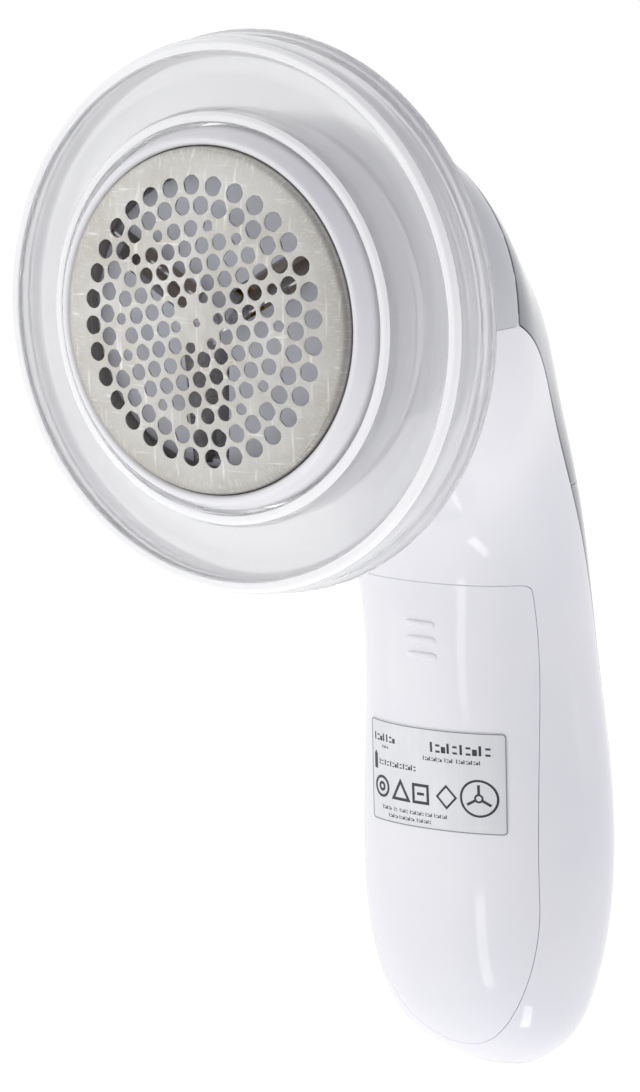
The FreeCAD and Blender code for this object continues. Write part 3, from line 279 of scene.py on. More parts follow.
DOOR_POLYGON = door_polygon()
DOOR_BACK = 70.5
SIDE = [1, 2]
FRONT = [0, 2]
BIN_END = -30.0
REAR_END = -104.0
CASING_FRONT = 17.02
# How far each piece's edge stands back from the seam that it shares.
GAP = {"head_cover": 0.02, "body_head": 0.01, "body_rear": 0.02, "bin": 0.2, "bin_end": 0.3, "rear": 0.06,
       "door": 0.05}
SLOT_HALF = (1.8, 4.6)
SLOT_MIDDLE = -48.3
SCREW_HOLES = ((-8.0, -36.6), (8.0, -36.6), (0.0, -92.0))
SCREW_HOLE_RADIUS = 2.3


def head_field(p):
    return inside_distance(p[:, SIDE], HEAD_POLYGON)


def rear_field(p):
    return np.minimum(inside_distance(p[:, SIDE], REAR_POLYGON), p[:, 2] - REAR_END)


def door_field(p):
    return np.minimum(inside_distance(p[:, FRONT], DOOR_POLYGON), DOOR_BACK - p[:, 1])


def head_cover_field(p):
    return np.minimum(head_field(p) - GAP["head_cover"], p[:, 1] - CASING_FRONT)


def body_field(p):
    head = -head_field(p) - GAP["body_head"]
    rear = -rear_field(p) - GAP["body_rear"]
    return np.minimum(np.minimum(head, rear), np.minimum(-door_field(p), p[:, 1] - CASING_FRONT))


def bin_field(p):
    return np.minimum(inside_distance(p[:, SIDE], REAR_POLYGON) - GAP["bin"], p[:, 2] - BIN_END)


def rear_cover_field(p):
    cover = np.minimum(rear_field(p) - GAP["rear"], BIN_END - GAP["bin_end"] - p[:, 2])
    slot = np.maximum(np.abs(p[:, 0]) - SLOT_HALF[0], np.abs(p[:, 2] - SLOT_MIDDLE) - SLOT_HALF[1])
    cover = np.minimum(cover, slot)
    for x, z in SCREW_HOLES:
        cover = np.minimum(cover, np.hypot(p[:, 0] - x, p[:, 2] - z) - SCREW_HOLE_RADIUS)
    return cover


def door_skin_field(p):
    return door_field(p) - GAP["door"]


# ---------------------------------------------------------------- casing shells
EDGE_ROUND = 0.12
ROUND_STEPS = (0.0, 0.12, 0.35, 0.65, 1.0, 2.4)
SHELL_ROWS = 224
TIP_ROWS = 6
SHELL_COLUMNS = 168
BISECTIONS = 7


def surface_distance(field, place, angle):
    """Distance along the surface to a piece's edge, from a field of points in space."""
    point, normal, around, along = form_frame(place, angle)
    value = field(point)
    step = 0.05
    slope_around = (field(point + around * step) - value) / step
    slope_along = (field(point + along * step) - value) / step
    slope = np.hypot(slope_around, slope_along)
    return value / np.maximum(slope, 0.35)


def split_polygons(polygons, params, values, level, keep_low, refine):
    """Cut polygons along one level of their vertices' values; new vertices are shared."""
    params = list(params)
    values = list(values)
    made = {}
    fresh = []

    def crossing(low, high):
        key = (min(low, high), max(low, high))
        if key not in made:
            t = (level - values[low]) / (values[high] - values[low])
            made[key] = len(params)
            params.append(params[low] + t * (params[high] - params[low]))
            fresh.append((made[key], low, high))
            values.append(level)
        return made[key]

    result = []
    for polygon in polygons:
        flags = [values[v] >= level - 1e-9 for v in polygon]
        if all(flags):
            result.append(polygon)
            continue
        if not any(flags):
            if keep_low:
                result.append(polygon)
            continue
        high_part, low_part = [], []
        for i, vertex in enumerate(polygon):
            follow = (i + 1) % len(polygon)
            (high_part if flags[i] else low_part).append(vertex)
            if flags[i] != flags[follow]:
                new = crossing(vertex, polygon[follow])
                high_part.append(new)
                low_part.append(new)
        if len(high_part) > 2:
            result.append(high_part)
        if keep_low and len(low_part) > 2:
            result.append(low_part)
    params = np.array(params)
    values = np.array(values)
    if fresh:
        new, low, high = (np.array(column) for column in zip(*fresh))
        start, stop = params[low].copy(), params[high].copy()
        start_value, stop_value = values[low], values[high]
        t = (level - start_value) / (stop_value - start_value)
        lower, upper = np.zeros_like(t), np.ones_like(t)
        for _ in range(BISECTIONS):
            trial = start + t[:, None] * (stop - start)
            value = refine(trial)
            above = (value > level) == (stop_value > start_value)
            upper = np.where(above, t, upper)
            lower = np.where(above, lower, t)
            t = (lower + upper) / 2
        params[new] = start + t[:, None] * (stop - start)
    return result, params, values


def casing_shell(name, field, body, slot, material, node, wall=WALL):
    """One closed shell of the casing: the part of the form where field is positive."""
    places = np.concatenate([np.linspace(0, FORM_END, SHELL_ROWS, endpoint=False),
                             FORM_END + TIP_ROUND * np.linspace(0, 0.96, TIP_ROWS)])
    columns = SHELL_COLUMNS
    angles = np.arange(columns) * 2 * math.pi / columns
    grid = np.stack(np.meshgrid(places, angles, indexing="ij"), -1).reshape(-1, 2)
    loops = [list(range(start, start + columns)) for start in range(0, len(grid), columns)]
    polygons = [quad for here, there in zip(loops, loops[1:]) for quad in band(here, there)]
    # the seam column is given its own vertices, so that angles can be interpolated across it
    params = np.vstack([grid, np.stack([places, np.full(len(places), 2 * math.pi)], -1)])
    first_extra = len(grid)
    for polygon in polygons:
        if polygon[1] % columns == 0 and polygon[0] % columns == columns - 1:
            polygon[1] = first_extra + polygon[1] // columns
            polygon[2] = first_extra + polygon[2] // columns
    top_row = loops[-1]

    def refine(trial):
        return surface_distance(field, trial[:, 0], trial[:, 1])

    values = refine(params)
    for number, share in enumerate(ROUND_STEPS):
        polygons, params, values = split_polygons(
            polygons, params, values, share * EDGE_ROUND, number > 0, refine)
    used = sorted({v for polygon in polygons for v in polygon})
    if set(top_row) & set(used):
        polygons.append(top_row)
        used = sorted(set(used) | set(top_row))
    points, normals = form_frame(params[:, 0], params[:, 1])[:2]
    distance = np.clip(values, 0, EDGE_ROUND)
    drop = EDGE_ROUND - np.sqrt(np.maximum(EDGE_ROUND ** 2 - (EDGE_ROUND - distance) ** 2, 0))
    outer = points - normals * drop[:, None]
    inner = points - normals * wall
    merged = {}
    index = {}
    for v in used:
        key = tuple(np.round(outer[v], 4))
        index[v] = merged.setdefault(key, len(merged))
    count = len(merged)
    all_points = np.zeros((2 * count, 3))
    for v in used:
        all_points[index[v]] = outer[v]
        all_points[count + index[v]] = inner[v]
    faces = []
    for polygon in polygons:
        loop = [index[v] for v in polygon]
        loop = [v for i, v in enumerate(loop) if v != loop[i - 1]]
        if len(set(loop)) >= 3:
            faces.append(loop)
    fix_normals(piece(name, all_points, thick_faces(faces, count), body, slot, material, replaces=(node,)))


def fix_normals(obj):
    """Face every face outwards."""
    bm = bmesh.new()
    bm.from_mesh(obj.data)
    bmesh.ops.recalc_face_normals(bm, faces=bm.faces)
    bm.to_mesh(obj.data)
    bm.free()


# ---------------------------------------------------------------- materials
def srgb(red, green, blue):
    """Linear colour from 0-255 screen values."""
    values = []
    for value in (red, green, blue):
        value /= 255
        values.append(value / 12.92 if value <= 0.04045 else ((value + 0.055) / 1.055) ** 2.4)
    return (*values, 1.0)


class Maker:
    """Builds one procedural material round a Principled shader."""

    def __init__(self, name):
        self.material = bpy.data.materials.new(name)
        self.material.use_nodes = True
        self.tree = self.material.node_tree
        self.shader = self.tree.nodes["Principled BSDF"]
        self.place = self.tree.nodes.new("ShaderNodeTexCoord").outputs["Object"]
        self.height = None

    def put(self, **values):
        """Constant values straight on the shader's sockets."""
        for key, value in values.items():
            self.shader.inputs[key.replace("_", " ")].default_value = value

    def feed(self, socket, value):
        """Link another socket to this one, or set its constant."""
        if isinstance(value, bpy.types.NodeSocket):
            self.tree.links.new(value, socket)
        else:
            socket.default_value = value

    def node(self, kind, **values):
        """A node with its inputs linked or set by name."""
        made = self.tree.nodes.new(kind)
        for key, value in values.items():
            self.feed(made.inputs[key.replace("_", " ")], value)
        return made

    def stretched(self, scale, turn=(0, 0, 0)):
        """Object position scaled by axis and turned."""
        return self.node("ShaderNodeMapping", Vector=self.place, Scale=scale, Rotation=turn).outputs["Vector"]

    def noise(self, scale, detail=3.0, rough=0.55, vector=None):
        made = self.node("ShaderNodeTexNoise", Vector=vector or self.place, Scale=scale, Detail=detail,
                         Roughness=rough)
        return made.outputs["Fac"]

    def remap(self, value, low, high, out_low=0.0, out_high=1.0):
        """Value between low and high spread over another range."""
        made = self.node("ShaderNodeMapRange", Value=value, From_Min=low, From_Max=high, To_Min=out_low,
                         To_Max=out_high)
        return made.outputs["Result"]

    def maths(self, operation, first, second):
        made = self.tree.nodes.new("ShaderNodeMath")
        made.operation = operation
        for socket, value in zip(made.inputs, (first, second)):
            self.feed(socket, value)
        return made.outputs[0]

    def mix(self, factor, first, second):
        """Colour between two colours or sockets."""
        made = self.tree.nodes.new("ShaderNodeMix")
        made.data_type = "RGBA"
        for name, value in (("Factor_Float", factor), ("A_Color", first), ("B_Color", second)):
            self.feed(next(s for s in made.inputs if s.identifier == name), value)
        return next(s for s in made.outputs if s.identifier == "Result_Color")

    def colour(self, socket):
        self.tree.links.new(socket, self.shader.inputs["Base Color"])

    def roughness(self, socket):
        self.tree.links.new(socket, self.shader.inputs["Roughness"])

    def bump(self, value, distance):
        """Adds a bump of the given height in millimetres."""
        made = self.node("ShaderNodeBump", Height=value, Strength=1.0, Distance=distance * MM)
        if self.height is not None:
            self.tree.links.new(self.height, made.inputs["Normal"])
        self.height = made.outputs["Normal"]
        self.tree.links.new(self.height, self.shader.inputs["Normal"])


def specks(make, cell, radius, share):
    """Mask of small round specks: cell size and speck radius in millimetres."""
    cells = make.node("ShaderNodeTexVoronoi", Vector=make.place, Scale=1000.0 / cell)
    near = make.remap(cells.outputs["Distance"], radius / cell * 0.6, radius / cell, 1.0, 0.0)
    pick = make.node("ShaderNodeSeparateColor", Color=cells.outputs["Color"]).outputs[0]
    return make.maths("MULTIPLY", near, make.maths("LESS_THAN", pick, share))


def gloss_plastic(name, colour, tint, roughness=0.16, coat=0.35, dirt=0.35):
    """Gloss moulded plastic: flow-line shading, smudges, a slight orange peel and a few dust specks."""
    make = Maker(name)
    broad = make.remap(make.noise(38.0, 2.0), 0.35, 0.65)
    base = make.mix(broad, colour, tint)
    marks = specks(make, 5.5, 0.13, 0.16)
    make.colour(make.mix(make.maths("MULTIPLY", marks, dirt), base, srgb(120, 116, 112)))
    smudge = make.noise(120.0, 5.0, 0.65)
    hairs = make.noise(900.0, 2.0, 0.5, make.stretched((1.0, 1.0, 0.06), (0.3, 0.5, 0.2)))
    worn = make.maths("ADD", make.remap(smudge, 0.4, 0.75, roughness * 0.75, roughness * 1.35),
                      make.remap(hairs, 0.68, 0.8, 0.0, 0.10))
    make.roughness(worn)
    make.bump(make.noise(420.0, 2.0), 0.004)
    make.bump(marks, 0.01)
    make.put(Coat_Weight=coat, Coat_Roughness=0.04, IOR=1.5, Specular_IOR_Level=0.5)
    return make.material


def matt_plastic(name, colour, tint, roughness=0.45, painted_glow=0.0):
    """Spark-eroded inner plastic: fine even grain with soft shade changes.

    Painted light: a faint emission that stands for the daylight that thin white walls let through from
    outside.
    """
    make = Maker(name)
    make.colour(make.mix(make.remap(make.noise(60.0, 3.0), 0.3, 0.7), colour, tint))
    make.roughness(make.remap(make.noise(700.0, 3.0), 0.3, 0.7, roughness * 0.85, roughness * 1.15))
    make.bump(make.noise(2600.0, 3.0, 0.6), 0.010)
    # Painted light: this emission lights the inner parts faintly, though they are no lamp.
    make.put(Emission_Color=colour, Emission_Strength=painted_glow)
    return make.material


def steel(name, colour, tint, roughness):
    """Ground or drawn metal: fine lines along one way, stains and varied polish."""
    make = Maker(name)
    stain = make.remap(make.noise(90.0, 5.0, 0.65), 0.42, 0.72)
    lines = make.noise(2600.0, 3.0, 0.6, make.stretched((1.0, 0.05, 1.0)))
    make.colour(make.mix(stain, colour, tint))
    make.roughness(make.maths("ADD", make.remap(lines, 0.25, 0.75, roughness * 0.8, roughness * 1.2),
                              make.remap(stain, 0.0, 1.0, 0.0, 0.06)))
    make.bump(lines, 0.004)
    make.put(Metallic=1.0)
    return make.material


def foil_material():
    """Satin stainless sheet: scuffs in several directions, soft stains and a duller rim."""
    make = Maker("foil_satin_steel")
    place = make.node("ShaderNodeMapping", Vector=make.place, Location=[-value for value in APEX])
    parts = make.node("ShaderNodeSeparateXYZ", Vector=place.outputs["Vector"])
    flat = make.node("ShaderNodeCombineXYZ", X=parts.outputs["X"], Y=parts.outputs["Z"])
    radius = make.node("ShaderNodeVectorMath", Vector=flat.outputs["Vector"])
    radius.operation = "LENGTH"
    radius = radius.outputs["Value"]
    angle = make.maths("ARCTAN2", parts.outputs["Z"], parts.outputs["X"])
    rim = make.remap(radius, 0.0205, 0.0245)
    # short radial scratches near the rim, drawn in (angle, radius)
    polar = make.node("ShaderNodeCombineXYZ", X=make.maths("MULTIPLY", angle, 42.0),
                      Y=make.maths("MULTIPLY", radius, 260.0)).outputs["Vector"]
    radial = make.remap(make.noise(3.2, 3.0, 0.6, polar), 0.54, 0.72)
    radial = make.maths("MULTIPLY", radial, rim)
    upright = make.stretched((1.0, 1.0, 0.05), (0, 0.35, 0))
    level = make.stretched((0.05, 1.0, 1.0), (0, 0.2, 0))
    scuffs = make.remap(make.noise(1500.0, 2.0, 0.5, upright), 0.60, 0.78)
    cross = make.remap(make.noise(1700.0, 2.0, 0.5, level), 0.62, 0.8)
    wear = make.maths("MAXIMUM", make.maths("MAXIMUM", scuffs, cross), radial)
    grain = make.noise(3800.0, 4.0, 0.7)
    blotch = make.remap(make.noise(150.0, 5.0, 0.7), 0.46, 0.74)
    clouds = make.remap(make.noise(75.0, 3.0, 0.5), 0.35, 0.7)
    base = make.mix(clouds, srgb(214, 213, 210), srgb(197, 194, 188))
    base = make.mix(make.maths("MULTIPLY", blotch, 0.42), base, srgb(188, 182, 168))
    base = make.mix(make.maths("MULTIPLY", rim, 0.34), base, srgb(176, 172, 162))
    base = make.mix(make.maths("MULTIPLY", wear, 0.55), base, srgb(253, 253, 252))
    base = make.mix(make.remap(grain, 0.2, 0.8, 0.0, 0.22), base, srgb(176, 174, 167))
    make.colour(base)
    make.roughness(make.maths("SUBTRACT", make.remap(grain, 0.25, 0.75, 0.36, 0.50),
                              make.maths("MULTIPLY", wear, 0.12)))
    make.bump(grain, 0.006)
    make.bump(wear, 0.004)
    make.put(Metallic=1.0)
    return make.material


def clear_material():
    """Clear moulded plastic: handling scratches on a polished, very slightly hazy wall."""
    make = Maker("clear_polycarbonate")
    tone = make.remap(make.noise(55.0, 2.0), 0.35, 0.65)
    make.colour(make.mix(tone, (0.975, 0.975, 0.98, 1.0), (0.95, 0.95, 0.96, 1.0)))
    haze = make.remap(make.noise(160.0, 5.0, 0.7), 0.35, 0.75, 0.10, 0.22)
    scratches = make.remap(make.noise(1300.0, 2.0, 0.5, make.stretched((1.0, 0.2, 0.04), (0.1, 0.7, 0.0))),
                           0.66, 0.80, 0.0, 0.08)
    make.roughness(make.maths("ADD", haze, scratches))
    make.bump(make.noise(210.0, 2.0), 0.02)
    make.bump(specks(make, 4.0, 0.10, 0.05), 0.012)
    make.put(Transmission_Weight=0.66, IOR=1.42)
    return make.material


def clear_highlight_material():
    """Painted highlight on the clear plastic's moulded edges: whiter, less clear and faintly emitting, with
    flow marks along it.
    """
    make = Maker("clear_polycarbonate_painted_highlight")
    flow = make.remap(make.noise(60.0, 4.0, 0.6), 0.35, 0.7)
    make.colour(make.mix(flow, (1.0, 1.0, 1.0, 1.0), (0.94, 0.94, 0.95, 1.0)))
    make.roughness(make.remap(make.noise(400.0, 4.0, 0.7), 0.35, 0.75, 0.06, 0.16))
    make.bump(make.noise(230.0, 2.0), 0.015)
    # Low transmission and a faint emission paint the edge's highlight; the edge is no lamp.
    make.put(Transmission_Weight=0.12, IOR=1.5, Emission_Color=(1.0, 1.0, 1.0, 1.0), Emission_Strength=0.10)
    return make.material


def film_material():
    """Silvered label film with fine lamination streaks."""
    make = Maker("silver_label_film")
    streaks = make.noise(1400.0, 2.0, 0.5, make.stretched((1.0, 1.0, 0.03)))
    clouds = make.remap(make.noise(90.0, 2.0), 0.35, 0.65)
    base = make.mix(clouds, srgb(240, 241, 242), srgb(233, 234, 236))
    make.colour(make.mix(make.remap(streaks, 0.3, 0.7, 0.0, 0.18), base, srgb(220, 222, 226)))
    make.roughness(make.remap(streaks, 0.3, 0.7, 0.34, 0.5))
    make.bump(make.noise(900.0, 3.0), 0.004)
    make.put(Metallic=0.2)
    return make.material


def ink_material(name, colour):
    """Printed ink with slightly broken cover."""
    make = Maker(name)
    cover = make.remap(make.noise(4200.0, 2.0), 0.3, 0.75, 0.0, 0.22)
    make.colour(make.mix(cover, colour, srgb(120, 122, 126)))
    make.roughness(make.remap(make.noise(900.0, 3.0), 0.3, 0.7, 0.38, 0.55))
    return make.material


def copper_material():
    """Enamelled copper wound in fine turns."""
    make = Maker("enamelled_windings")
    turns = make.node("ShaderNodeTexWave", Vector=make.place, Scale=700.0, Distortion=2.0)
    make.colour(make.mix(turns.outputs["Fac"], srgb(190, 96, 48), srgb(122, 52, 24)))
    make.roughness(make.remap(make.noise(800.0, 3.0), 0.3, 0.7, 0.22, 0.4))
    make.bump(turns.outputs["Fac"], 0.08)
    make.put(Metallic=0.8)
    return make.material


def lamination_material():
    """Stack of steel sheets seen edge on."""
    make = Maker("stacked_laminations")
    sheets = make.node("ShaderNodeTexWave", Vector=make.place, Scale=330.0)
    sheets.bands_direction = "Y"
    make.colour(make.mix(sheets.outputs["Fac"], srgb(150, 150, 155), srgb(84, 84, 90)))
    make.roughness(make.remap(make.noise(900.0, 3.0), 0.3, 0.7, 0.35, 0.5))
    make.bump(sheets.outputs["Fac"], 0.05)
    make.put(Metallic=1.0)
    return make.material


CELL_COLLAR = -56.5


def cell_material():
    """Plain two-tone jacket of a battery cell: dark sleeve, bright collar at each end."""
    make = Maker("battery_jacket")
    height = make.node("ShaderNodeSeparateXYZ", Vector=make.place).outputs["Z"]
    top = make.maths("GREATER_THAN", height, APEX[2] + CELL_COLLAR * MM)
    clouds = make.remap(make.noise(70.0, 2.0), 0.35, 0.65)
    wrap = make.mix(clouds, srgb(52, 56, 66), srgb(62, 66, 76))
    make.colour(make.mix(top, wrap, srgb(196, 172, 120)))
    make.roughness(make.remap(make.noise(300.0, 4.0), 0.3, 0.7, 0.22, 0.36))
    make.bump(make.noise(1200.0, 2.0), 0.004)
    make.put(Metallic=0.5, Coat_Weight=0.3)
    return make.material


# The head cover's white is toned down to light grey: painted shade for the head's shaded side.
HEAD_COVER_PAINTED_SHADE = gloss_plastic("gloss_white_head_painted_shade", srgb(206, 207, 210), srgb(200, 201, 205))
WHITE = gloss_plastic("gloss_white_abs", srgb(243, 243, 246), srgb(239, 239, 244))
SMOKE = gloss_plastic("gloss_smoke_grey", srgb(122, 125, 130), srgb(112, 116, 121), roughness=0.12, coat=0.6,
                      dirt=0.2)
RING_WHITE = gloss_plastic("gloss_white_ring", srgb(246, 246, 248), srgb(243, 243, 246), roughness=0.12)
FOIL = foil_material()
CLEAR = clear_material()
CLEAR_PAINTED_HIGHLIGHT = clear_highlight_material()
FILM = film_material()
INK = ink_material("printed_ink", srgb(44, 46, 50))
BORDER = ink_material("printed_border", srgb(148, 150, 154))
BY_SLOT = {
    "white_gloss": WHITE,
    "clear_guard": CLEAR,
    "foil_steel": FOIL,
    "smoke_grey": SMOKE,
    # inner_white and impeller_grey carry a faint painted emission of light.
    "inner_white": matt_plastic("inner_white_plastic", srgb(240, 238, 235), srgb(233, 230, 226), painted_glow=0.05),
    "carrier_grey": matt_plastic("carrier_grey_plastic", srgb(232, 234, 241), srgb(224, 227, 235), 0.36),
    "impeller_grey": matt_plastic("impeller_grey_plastic", srgb(214, 202, 195), srgb(204, 192, 184), 0.4,
                                  painted_glow=0.05),
    "blade_steel": steel("ground_blade_steel", srgb(208, 208, 210), srgb(180, 176, 170), 0.24),
    "hub_brass": steel("turned_brass", srgb(206, 176, 104), srgb(180, 146, 80), 0.26),
    "motor_can": steel("plated_motor_can", srgb(178, 180, 184), srgb(158, 160, 164), 0.3),
    "magnet": matt_plastic("sintered_ferrite", srgb(54, 54, 57), srgb(42, 42, 45), 0.6),
    "lamination": lamination_material(),
    "copper": copper_material(),
    "black_plastic": matt_plastic("black_inner_plastic", srgb(38, 38, 40), srgb(30, 30, 32), 0.42),
    "screw_steel": steel("nickel_screw", srgb(196, 196, 198), srgb(170, 168, 164), 0.22),
    "contact_metal": steel("nickel_contact", srgb(206, 205, 200), srgb(184, 180, 168), 0.2),
    "label_film": FILM,
    "cell_jacket": cell_material(),
    "switch_white": gloss_plastic("gloss_white_switch", srgb(238, 238, 240), srgb(232, 232, 236)),
    "wire_red": gloss_plastic("red_insulation", srgb(186, 34, 30), srgb(166, 26, 24), 0.35, 0.0, 0.0),
    "wire_black": gloss_plastic("black_insulation", srgb(36, 36, 38), srgb(28, 28, 30), 0.35, 0.0, 0.0),
}
NODE_SLOT = {part["node"]: part["material_slot"] for part in frame["record"]["subparts"]}
for name, node in frame["nodes"].items():
    node.data.materials.clear()
    node.data.materials.append(BY_SLOT[NODE_SLOT[name]])


# ---------------------------------------------------------------- foil
FOIL_RADIUS = 25.0
DOME_RADIUS = 149.0
SHEET = 0.3
ROLL_START = 23.7
SKIRT_END = 6.5
HOLE = 1.157
SMALL_HOLE = 0.805
HOLE_PITCH = 3.077
HOLE_TURN = math.radians(13.1)
# The six holes round the middle and twelve small ones of the field stand off its even pitch.
MIDDLE_CIRCLE = 3.83
SMALL_CIRCLE = 13.98
OUTER_HOLES = 32
# Circle radius, hole radius, half steps that the circle is turned by.
OUTER_CIRCLES = ((16.69, 1.30, 0), (19.62, 1.37, 1))
BOSS_RADIUS = 1.68
BOSS_RISE = 0.035
# Growth of the radius and drop below the dome of the rings that round a hole's rim.
RIM_STEPS = ((0.17, 0.0), (0.10, 0.006), (0.045, 0.03), (0.0, 0.10))
# The dome's edge rolls over along one arc with these control points of (radius, depth).
ROLL_CONTROLS = np.array([(24.0, 1.955), (24.95, 2.12), (FOIL_RADIUS, 3.35)])
EDGE_RADIUS = 23.95


def dome_depth(radius):
    """Depth of the foil's dome at a radius."""
    return DOME_RADIUS - np.sqrt(DOME_RADIUS ** 2 - np.asarray(radius, float) ** 2)


def hole_places():
    """Holes of the foil as (x, z, radius): a hexagonal field inside two rings."""
    places = [(0.0, 0.0, SMALL_HOLE * 0.72)]
    for a in range(-6, 7):
        for b in range(-6, 7):
            steps = math.sqrt(a * a + a * b + b * b)
            angle = math.atan2(b * math.sqrt(0.75), a + b / 2) + HOLE_TURN
            radius, size = steps * HOLE_PITCH, HOLE
            if 0 < steps < 1.05:
                radius, size = MIDDLE_CIRCLE, SMALL_HOLE
            elif abs(steps - math.sqrt(21)) < 0.01:
                radius, size = SMALL_CIRCLE, SMALL_HOLE
            elif steps == 0 or steps > 4.4:
                continue
            places.append((radius * math.cos(angle), radius * math.sin(angle), size))
    for circle, size, half_steps in OUTER_CIRCLES:
        for i in range(OUTER_HOLES):
            angle = math.pi * (2 * i + half_steps) / OUTER_HOLES
            places.append((circle * math.cos(angle), circle * math.sin(angle), size))
    return places


def ring_points(x, z, radius, count):
    angles = np.arange(count) * 2 * math.pi / count
    return np.stack([x + radius * np.cos(angles), z + radius * np.sin(angles)], -1)


def ring_at(ring, depth):
    """Points of a ring at a depth behind the dome's top."""
    return np.stack([ring[:, 0], np.broadcast_to(depth, len(ring)), ring[:, 1]], -1)


def make_foil():
    """Perforated dome with softly rounded hole rims, a rolled edge and a skirt."""
    sides, around = 28, 240
    flat = []
    edges = []

    def add_ring(ring):
        start = len(flat)
        flat.extend(Vector(point) for point in ring)
        edges.extend((start + i, start + (i + 1) % len(ring)) for i in range(len(ring)))
        return start

    holes = hole_places()
    starts = [add_ring(ring_points(x, z, size + RIM_STEPS[0][0], sides)) for x, z, size in holes]
    for radius, count in ((1.5, 40), (BOSS_RADIUS, 40), (1.86, 40), (21.7, 160), (22.6, 200)):
        add_ring(ring_points(0, 0, radius, count))
    outside = add_ring(ring_points(0, 0, ROLL_START, around))
    points, _, faces, origin = geometry.delaunay_2d_cdt(flat, edges, [], 0, 1e-7)[:4]
    points = np.array(points)
    new_place = {}
    for new, olds in enumerate(origin):
        for old in olds:
            new_place[old] = new
    centres = np.array([(x, z) for x, z, _ in holes])
    sizes = np.array([size for _, _, size in holes])
    kept = []
    for face in faces:
        middle = points[list(face)].mean(0)
        if not np.any(np.hypot(*(centres - middle).T) < sizes):
            kept.append(list(face))
    radius = np.hypot(points[:, 0], points[:, 1])
    boss = BOSS_RISE * np.exp(-((radius - BOSS_RADIUS) / 0.1) ** 2)
    top = np.stack([points[:, 0], dome_depth(radius) - boss, points[:, 1]], -1)
    bottom = top + [0, SHEET, 0]
    vertices = [top, bottom]
    result = [face[::-1] for face in kept] + [[v + len(points) for v in face] for face in kept]

    def sweep(loop, rings):
        """Faces from a loop of the upper side, through new rings, to the same loop of the lower side."""
        previous = loop
        for ring in rings:
            start = sum(map(len, vertices))
            current = list(range(start, start + len(ring)))
            vertices.append(ring)
            result.extend(band(previous, current))
            previous = current
        result.extend(band(previous, [v + len(points) for v in loop]))

    for start, (x, z, size) in zip(starts, holes):
        rings = []
        for grow, drop in RIM_STEPS[1:]:
            ring = ring_points(x, z, size + grow, sides)
            rings.append(ring_at(ring, dome_depth(np.hypot(*ring.T)) + drop))
        sweep([new_place[start + i] for i in range(sides)], rings)
    edge_depth = float(dome_depth(EDGE_RADIUS))
    profile = [(EDGE_RADIUS, edge_depth + 0.01)]
    for t in np.linspace(0.1, 1.0, 9):
        profile.append(np.array([(1 - t) ** 2, 2 * t * (1 - t), t ** 2]) @ ROLL_CONTROLS)
    profile += [(FOIL_RADIUS, SKIRT_END), (FOIL_RADIUS - SHEET, SKIRT_END), (FOIL_RADIUS - SHEET, 3.5),
                (FOIL_RADIUS - 0.55, 2.75), (EDGE_RADIUS, edge_depth + SHEET + 0.02)]
    sweep([new_place[outside + i] for i in range(around)],
          [ring_at(ring_points(0, 0, radius, around), depth) for radius, depth in profile])
    foil = piece("foil_sheet", np.vstack(vertices), result, "foil_unit", "foil_steel", FOIL,
                 replaces=("foil",))
    fix_normals(foil)
    smooth_by_angle(foil.data, 40)


make_foil()

# ---------------------------------------------------------------- rings of the head
RING_OUTLINE = [
    # radius, depth, corner rounding
    (25.10, 3.10, 0.15),
    (25.45, 2.65, 0.30),
    (26.15, 2.65, 0.35),
    (26.60, 3.30, 0.60),
    (26.90, 4.00, 0.50),
    (27.60, 5.45, 0.90),
    (27.60, 14.5, 0.30),
    (25.90, 14.5, 0.10),
    (25.90, 8.30, 0.10),
    (23.90, 8.30, 0.10),
    (23.90, 6.50, 0.10),
    (25.10, 6.50, 0.10),
]
GUARD_OUTLINE = [
    (28.00, 5.55, 0.30),
    (28.40, 5.15, 0.28),
    (29.10, 5.15, 0.28),
    (29.45, 5.50, 0.40),
    (35.20, 9.35, 1.60),
    (37.30, 9.25, 0.50),
    (37.90, 8.75, 0.45),
    (38.10, 7.80, 0.40),
    (38.40, 7.60, 0.22),
    (39.40, 7.60, 0.30),
    (39.70, 8.10, 0.45),
    (40.30, 9.80, 0.90),
    (40.30, 11.3, 0.35),
    (39.90, 11.9, 0.30),
    (39.90, 12.9, 0.30),
    (40.30, 13.5, 0.35),
    (40.80, 14.9, 0.60),
    (40.80, 16.1, 0.30),
    (38.70, 16.1, 0.35),
    (38.70, 10.95, 0.90),
    (34.60, 10.95, 1.20),
    (29.40, 7.65, 0.60),
    (29.40, 13.0, 0.35),
    (28.00, 13.0, 0.35),
]
# Painted highlight: thin rings of whiter, faintly emitting clear plastic laid on the clear guard's moulded
# edges, its outer lip and its inner rim.
CREST_OUTLINE = [
    (38.30, 7.62, 0.12),
    (38.45, 7.56, 0.10),
    (39.38, 7.56, 0.28),
    (39.76, 8.10, 0.30),
    (39.90, 8.60, 0.10),
    (39.50, 8.60, 0.10),
    (39.30, 8.05, 0.20),
    (38.40, 8.05, 0.10),
]
INNER_EDGE_OUTLINE = [
    (28.30, 5.22, 0.05),
    (28.42, 5.11, 0.06),
    (29.12, 5.11, 0.24),
    (29.52, 5.50, 0.24),
    (29.72, 5.70, 0.05),
    (29.30, 5.80, 0.05),
    (29.00, 5.50, 0.10),
    (28.50, 5.50, 0.05),
]


def make_ring(name, outline, body, slot, material, node):
    points, faces = lathe(round_corners(outline))
    fix_normals(piece(name, points, faces, body, slot, material, replaces=(node,)))


make_ring("foil_ring_gloss", RING_OUTLINE, "foil_unit", "white_gloss", RING_WHITE, "foil_ring")
make_ring("guard_clear", GUARD_OUTLINE, "guard_unit", "clear_guard", CLEAR, "guard")
# These two rings carry the guard edges' painted highlight.
make_ring("guard_crest_painted_highlight", CREST_OUTLINE, "guard_unit", "clear_guard", CLEAR_PAINTED_HIGHLIGHT, "guard")
make_ring("guard_inner_edge_painted_highlight", INNER_EDGE_OUTLINE, "guard_unit", "clear_guard", CLEAR_PAINTED_HIGHLIGHT, "guard")

